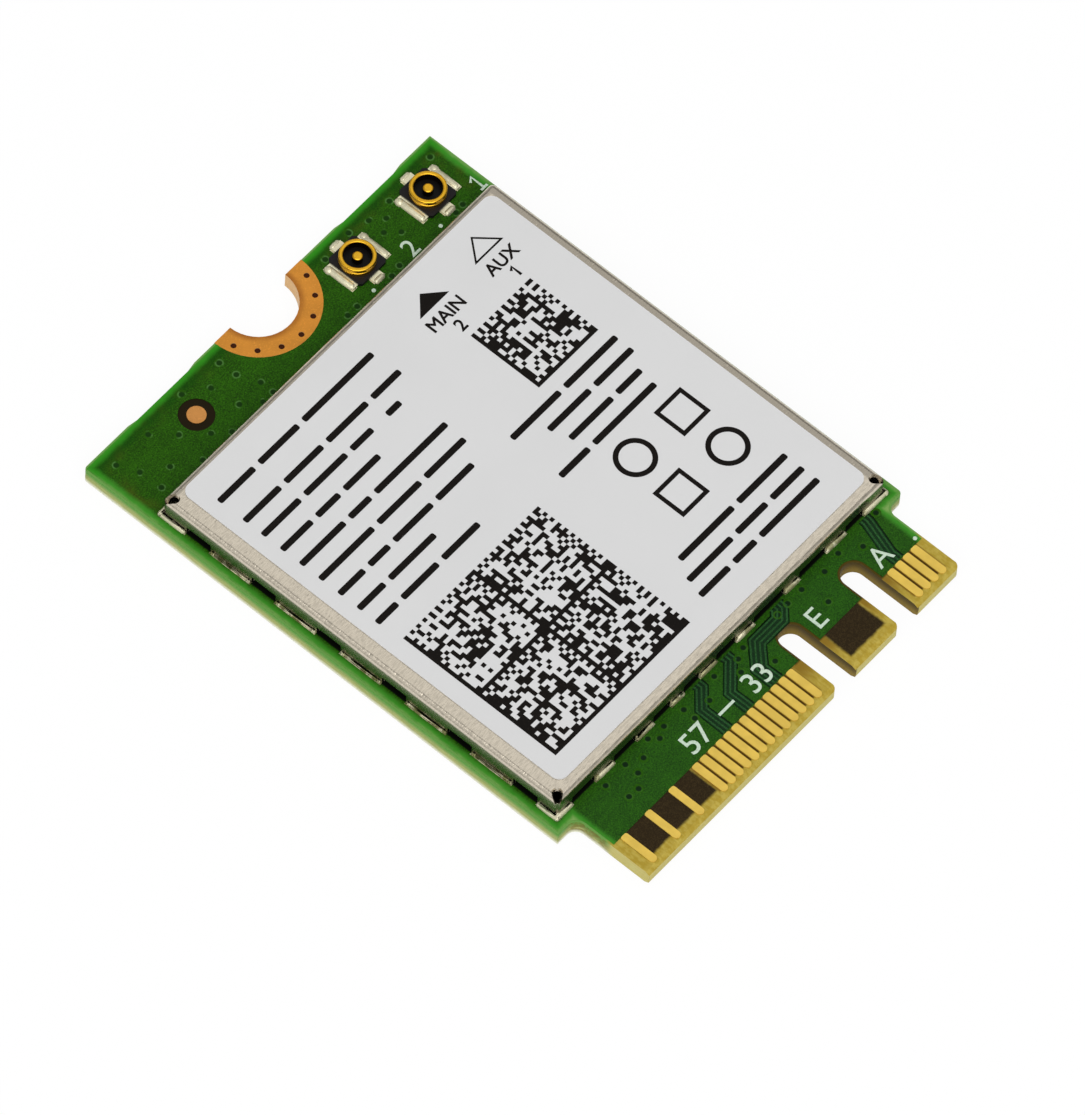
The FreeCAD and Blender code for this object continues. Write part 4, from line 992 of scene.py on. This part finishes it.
class CARD_OT_foot_solder(bpy.types.Operator):
    """Solder against the feet of the can: pills in front, angles at the corners"""
    bl_idname = "card.foot_solder"
    bl_label = "Foot solder"

    def execute(self, context):
        low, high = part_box("shield_can")
        level, near = BOARD_TOP * MM, NEAR_CORNER * MM
        round_corner, end_run = ROUND_CORNER * MM, FOOT_END_RUN * MM
        pieces = []
        for start, end in separate_boxes("shield_solder_banks"):
            middle = (start + end) / 2
            side = start.x > high.x - near or end.x < low.x + near
            axis = 1 if side else 0
            at_first = start[axis] < low[axis] + near
            at_last = end[axis] > high[axis] - near
            first = start[axis] - (round_corner if at_first else 0.0)
            last = end[axis] + (round_corner if at_last else 0.0)
            if not side:
                turn = 0.0 if middle.y < 0 else math.pi
                face = low.y if middle.y < 0 else high.y
                runs = [(first, last, END_FOOT)]
            else:
                turn = -math.pi / 2 if middle.x < 0 else math.pi / 2
                face = low.x if middle.x < 0 else high.x
                runs = [(first, last, CORNER_FOOT)]
                if not (at_first or at_last):
                    runs = [(first, last, SIDE_FOOT), (first, first + end_run, SIDE_FOOT_END),
                            (last - end_run, last, SIDE_FOOT_END)]
            for begin, stop, (reach, rise) in runs:
                piece = bead(stop - begin, reach * MM, rise * MM)
                against_wall()
                along = (begin + stop) / 2
                piece.rotation_euler.z = turn
                piece.location = (face, along, level) if side else (along, face, level)
                apply_place()
                pieces.append(piece)
        piece = join(pieces)
        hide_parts("shield_solder_banks")
        settle(piece, "foot_solder", bpy.data.materials["bright_solder"])
        return {"FINISHED"}


class CARD_OT_port_solder(bpy.types.Operator):
    """Solder on the tabs and leads of the antenna receptacles"""
    bl_idname = "card.port_solder"
    bl_label = "Port solder"

    def execute(self, context):
        pieces = []

        def lay(run, reach, rise, x, y, turn=0.0):
            piece = bead(run * MM, reach * MM, rise * MM)
            piece.rotation_euler.z = turn
            piece.location = (x, y, LACQUER_TOP * MM)
            apply_place()
            pieces.append(piece)

        for port in RECEPTACLES:
            low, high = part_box(f"{port}_shell")
            x = (low.x + high.x) / 2
            y = (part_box(f"{port}_pin")[0].y + high.y) / 2
            for side in (-1, 1):
                for run, reach, rise, out, along in TAB_BEADS:
                    lay(run, reach, rise, x + side * out * MM, y + along * MM, math.pi / 2)
                run, reach, rise, out = LEAD_BEAD
                lay(run, reach, rise, x, y + side * out * MM)
        settle(join(pieces), "port_solder", bpy.data.materials["bright_solder"])
        return {"FINISHED"}


def beside(points, shift):
    """A bent line moved sideways by a shift."""
    moved = []
    for index, here in enumerate(points):
        turns = []
        for start, end in ((index - 1, index), (index, index + 1)):
            if start >= 0 and end < len(points):
                run = Vector(points[end]) - Vector(points[start])
                turns.append(Vector((-run.y, run.x)).normalized())
        side = sum(turns, Vector((0.0, 0.0))).normalized()
        moved.append(tuple(Vector(here) + side * shift / max(side.dot(turns[0]), 0.5)))
    return moved


class CARD_OT_tracks(bpy.types.Operator):
    """Tracks that show under the lacquer in front of the can, and the dark beds between them"""
    bl_idname = "card.tracks"
    bl_label = "Tracks"

    def execute(self, context):
        sizes = context.scene.card_sizes
        colours = context.scene.card_colours
        strips = []
        beds = []
        for count, points in TRACK_BUNDLES:
            bed = (count + 0.4) * sizes.track_pitch
            beds.append(track(points, bed, sizes.track_rise * 0.4, LACQUER_TOP))
            for index in range(count):
                line = beside(points, (index - (count - 1) / 2) * sizes.track_pitch / MM)
                strips.append(track(line, sizes.track_width, sizes.track_rise, LACQUER_TOP))
        for pieces, name, finish, base in (
                (strips, "signal_tracks", "track_lacquer", TRACK_LACQUER),
                (beds, "track_gaps", "gap_lacquer", colours.lacquer_gap)):
            material = lacquer_finish(colours, finish, base, "shield_can").material
            settle(join(pieces), name, material)
        return {"FINISHED"}


class CARD_OT_legend(bpy.types.Operator):
    """White legend on the lacquer: port numbers, key letters, contact numbers and dots"""
    bl_idname = "card.legend"
    bl_label = "Legend"

    def execute(self, context):
        rise = context.scene.card_sizes.legend_thickness
        level = LACQUER_TOP + CLEAR
        pieces = [words(*row, level, rise) for row in LEGEND_WORDS]
        pieces += numeral_one(LEGEND_ONE, level, rise)
        start_clean()
        bpy.ops.mesh.primitive_circle_add(
            vertices=16, radius=LEGEND_DOT_RADIUS * MM, fill_type="NGON")
        dot = context.object
        edit_all()
        raise_faces(rise)
        bpy.ops.mesh.bevel(offset=rise * 0.5, segments=2)
        leave_edit()
        pieces += copies(dot, [spot(x, y, level) for x, y in LEGEND_DOTS])
        bpy.data.objects.remove(dot)
        start_clean()
        bpy.ops.mesh.primitive_plane_add(size=1.0, location=spot(*LEGEND_DASH, level))
        dash = context.object
        dash.scale = (LEGEND_DASH_SIZE[0] * MM, LEGEND_DASH_SIZE[1] * MM, 1.0)
        apply_scale()
        edit_all()
        raise_faces(rise)
        leave_edit()
        pieces.append(dash)
        material = legend_finish(context.scene.card_colours).material
        settle(join(pieces), "white_legend", material)
        return {"FINISHED"}


def ink_bars(height, level, rise, chance):
    """Rows of ink runs with rounded ends, broken into words by chance."""
    start_clean()
    bpy.ops.mesh.primitive_plane_add(size=MM, location=(0.0, 0.0, 0.0))
    piece = bpy.context.object
    edit_all()
    bpy.ops.mesh.delete(type="VERT")
    for y, start, end in INK_ROWS:
        at = start
        while end - at > INK_LEAST:
            run = chance.uniform(*INK_RUN)
            if end - at - run < INK_LAST:
                run = end - at
            middle = spot(at + run / 2, y, level)
            bpy.ops.mesh.primitive_plane_add(size=1.0, location=middle, scale=(1.0, 1.0, 1.0))
            bpy.ops.transform.resize(value=(run * MM, height, 1.0), center_override=middle)
            at += run + INK_GAP
    bpy.ops.mesh.select_all(action="SELECT")
    bpy.ops.mesh.bevel(offset=height * 0.3, segments=3, affect="VERTICES")
    bpy.ops.mesh.select_all(action="SELECT")
    raise_faces(rise)
    leave_edit()
    return piece


def square_code(left, right, low, high, cells, blocks, level, rise, chance):
    """A chance pattern of square cells inside solid and broken borders."""
    start_clean()
    width, tall = (right - left) * MM, (high - low) * MM
    middle = spot((left + right) / 2, (low + high) / 2, level)
    bpy.ops.mesh.primitive_grid_add(
        x_subdivisions=cells, y_subdivisions=cells, size=1.0, location=middle)
    piece = bpy.context.object
    piece.scale = (width, tall, 1.0)
    apply_scale()
    side = cells // blocks

    def blank(face):
        place = face.calc_center_median()
        across = int((place.x / width + 0.5) * cells) % side
        up = int((place.y / tall + 0.5) * cells) % side
        if across == 0 or up == 0:
            return False
        if across == side - 1:
            return up % 2 == 0
        if up == side - 1:
            return across % 2 == 1
        return chance.random() < BLANK_SHARE

    bpy.ops.object.mode_set(mode="EDIT")
    choose(piece, "FACE", blank)
    bpy.ops.mesh.delete(type="FACE")
    bpy.ops.mesh.select_all(action="SELECT")
    raise_faces(rise)
    leave_edit()
    return piece


def plain_sign(corners, x, y, width, tall, line, level, rise):
    """A regular shape, solid or as an outline, stretched to a width and height."""
    start_clean()
    bpy.ops.mesh.primitive_circle_add(vertices=corners, radius=1.0, fill_type="NGON")
    piece = bpy.context.object
    if corners == 4:
        piece.rotation_euler.z = math.radians(45)
        bpy.ops.object.transform_apply(location=False, rotation=True, scale=False)
    low, high = extent(piece.data)
    piece.scale = (width * MM / (high.x - low.x), tall * MM / (high.y - low.y), 1.0)
    piece.location = spot(x, y, level) - (low + high) / 2 * piece.scale
    apply_place()
    edit_all()
    if line:
        bpy.ops.mesh.inset(thickness=line * MM, depth=0.0)
        bpy.ops.mesh.delete(type="FACE")
        bpy.ops.mesh.select_all(action="SELECT")
    raise_faces(rise)
    leave_edit()
    return piece


class CARD_OT_print(bpy.types.Operator):
    """Print on the label: runs of ink, square codes, port marks and plain signs"""
    bl_idname = "card.print"
    bl_label = "Label print"

    def execute(self, context):
        sizes = context.scene.card_sizes
        chance = random.Random(sizes.code_seed)
        level = LABEL_TOP + CLEAR
        rise = sizes.ink_thickness
        pieces = [ink_bars(sizes.ink_row_height, level, rise, chance)]
        pieces += [square_code(*row, level, rise, chance) for row in SQUARE_CODES]
        pieces += [plain_sign(*row, level, rise) for row in LABEL_SIGNS]
        pieces += [words(*row, level, rise) for row in LABEL_WORDS]
        pieces += numeral_one(LABEL_ONE, level, rise)
        material = ink_finish(context.scene.card_colours).material
        settle(join(pieces), "label_print", material)
        return {"FINISHED"}


def plain_surroundings(scene):
    """World light: bright low down in front, dimmer behind and to the right overhead.

    To the camera it is plain white.
    """
    scene.world = bpy.data.worlds.new("studio")
    sky = Nodes(scene.world)
    away = sky.add("ShaderNodeTexCoord")
    across, height = (sky.add("ShaderNodeSeparateXYZ", None, {0: away}, axis) for axis in (0, 2))
    behind = sky.add("ShaderNodeVectorMath", {"operation": "DOT_PRODUCT"}, {0: away, 1: BEHIND}, 1)
    level = sky.step(behind, -0.3, 0.5, 0.7, 0.55)
    overhead = sky.step(height, 0.2, 0.95)
    top = sky.step(across, -0.1, 0.42, 0.6, 0.3)
    light = sky.add("ShaderNodeBackground", None,
                    {"Strength": level * (1.0 - overhead) + top * overhead})
    white = sky.add("ShaderNodeBackground", None, {"Color": (1.0, 1.0, 1.0)})
    seen = sky.add("ShaderNodeLightPath")
    blend = sky.add("ShaderNodeMixShader", None, {0: seen, 1: light, 2: white})
    sky.add("ShaderNodeOutputWorld", None, {"Surface": blend})


def floor_finish(colours):
    """Pale floor, nearly white to the camera and in metal and glass, with a soft shadow."""
    material = bpy.data.materials.new("pale_floor")
    nodes = Nodes(material)
    paint = nodes.add("ShaderNodeBsdfDiffuse", None, {"Color": tuple(colours.floor)})
    camera, glossy, through = (nodes.add("ShaderNodeLightPath", output=f"Is {ray} Ray")
                               for ray in ("Camera", "Glossy", "Transmission"))
    glow = nodes.add("ShaderNodeEmission")
    share = camera.greater(glossy).greater(through) * 0.92
    blend = nodes.add("ShaderNodeMixShader", None, {0: share, 1: paint, 2: glow})
    nodes.add("ShaderNodeOutputMaterial", None, {"Surface": blend})
    return material


def softbox(name, watts, width, height, place):
    """A flat lamp that faces the card; its width lies level."""
    start_clean()
    bpy.ops.object.light_add(type="AREA", location=place)
    lamp = bpy.context.object
    lamp.name = name
    lamp.data.energy = watts
    lamp.data.shape = "RECTANGLE"
    lamp.data.size = width
    lamp.data.size_y = height
    lamp.rotation_euler = (-Vector(place)).to_track_quat("-Z", "Y").to_euler()


def view_from(stage):
    """The camera's place and turn: it looks at its target against the back direction."""
    sine, cosine = math.sin(stage.azimuth), math.cos(stage.azimuth)
    level = math.cos(stage.elevation)
    back = Vector((sine * level, -cosine * level, math.sin(stage.elevation)))
    right = Vector((cosine, sine, 0.0))
    right = right * math.cos(stage.roll) + back.cross(right) * math.sin(stage.roll)
    view = Matrix((right, back.cross(right), back)).transposed().to_4x4()
    view.translation = spot(*CAMERA_TARGET, BOARD_TOP) + back * stage.camera_distance
    return view


class CARD_OT_stage(bpy.types.Operator):
    """Floor, soft light and the camera"""
    bl_idname = "card.stage"
    bl_label = "Stage"

    def execute(self, context):
        scene = context.scene
        stage = scene.card_stage
        start_clean()
        bpy.ops.mesh.primitive_plane_add(size=3.0, location=(0.0, 0.0, -FLOOR_DROP * MM))
        floor = context.object
        floor.name = "floor"
        floor.data.materials.append(floor_finish(scene.card_colours))
        plain_surroundings(scene)
        for name, watts, width, height, place in LAMPS:
            softbox(name, getattr(stage, watts), width, height, place)
        start_clean()
        bpy.ops.object.camera_add()
        camera = context.object
        camera.name = "camera"
        camera.data.lens = stage.camera_lens
        camera.data.sensor_width = 36.0
        camera.matrix_world = view_from(stage)
        scene.camera = camera
        scene.view_settings.view_transform = "Standard"
        return {"FINISHED"}


STEPS = (
    CARD_OT_finishes,
    CARD_OT_foot_solder,
    CARD_OT_port_solder,
    CARD_OT_vias,
    CARD_OT_tracks,
    CARD_OT_legend,
    CARD_OT_print,
    CARD_OT_stage,
)
GROUPS = {"card_colours": CardColours, "card_sizes": CardSizes, "card_stage": CardStage}


class CARD_PT_looks(bpy.types.Panel):
    """Sizes, colours and steps of the card's looks"""
    bl_idname = "CARD_PT_looks"
    bl_label = "Wireless card"
    bl_space_type = "VIEW_3D"
    bl_region_type = "UI"
    bl_category = "Card"

    def draw(self, context):
        for step in STEPS:
            self.layout.operator(step.bl_idname)
        for name, group in GROUPS.items():
            box = self.layout.box()
            for field in group.__annotations__:
                box.prop(getattr(context.scene, name), field)


def register():
    for group in GROUPS.values():
        bpy.utils.register_class(group)
    for name, group in GROUPS.items():
        setattr(bpy.types.Scene, name, bpy.props.PointerProperty(type=group))
    for step in STEPS:
        bpy.utils.register_class(step)
    bpy.utils.register_class(CARD_PT_looks)


def unregister():
    bpy.utils.unregister_class(CARD_PT_looks)
    for step in reversed(STEPS):
        bpy.utils.unregister_class(step)
    for name, group in GROUPS.items():
        delattr(bpy.types.Scene, name)
        bpy.utils.unregister_class(group)


def main():
    register()
    for step in STEPS:
        family, name = step.bl_idname.split(".")
        getattr(getattr(bpy.ops, family), name)()


if __name__ == "__main__":
    main()
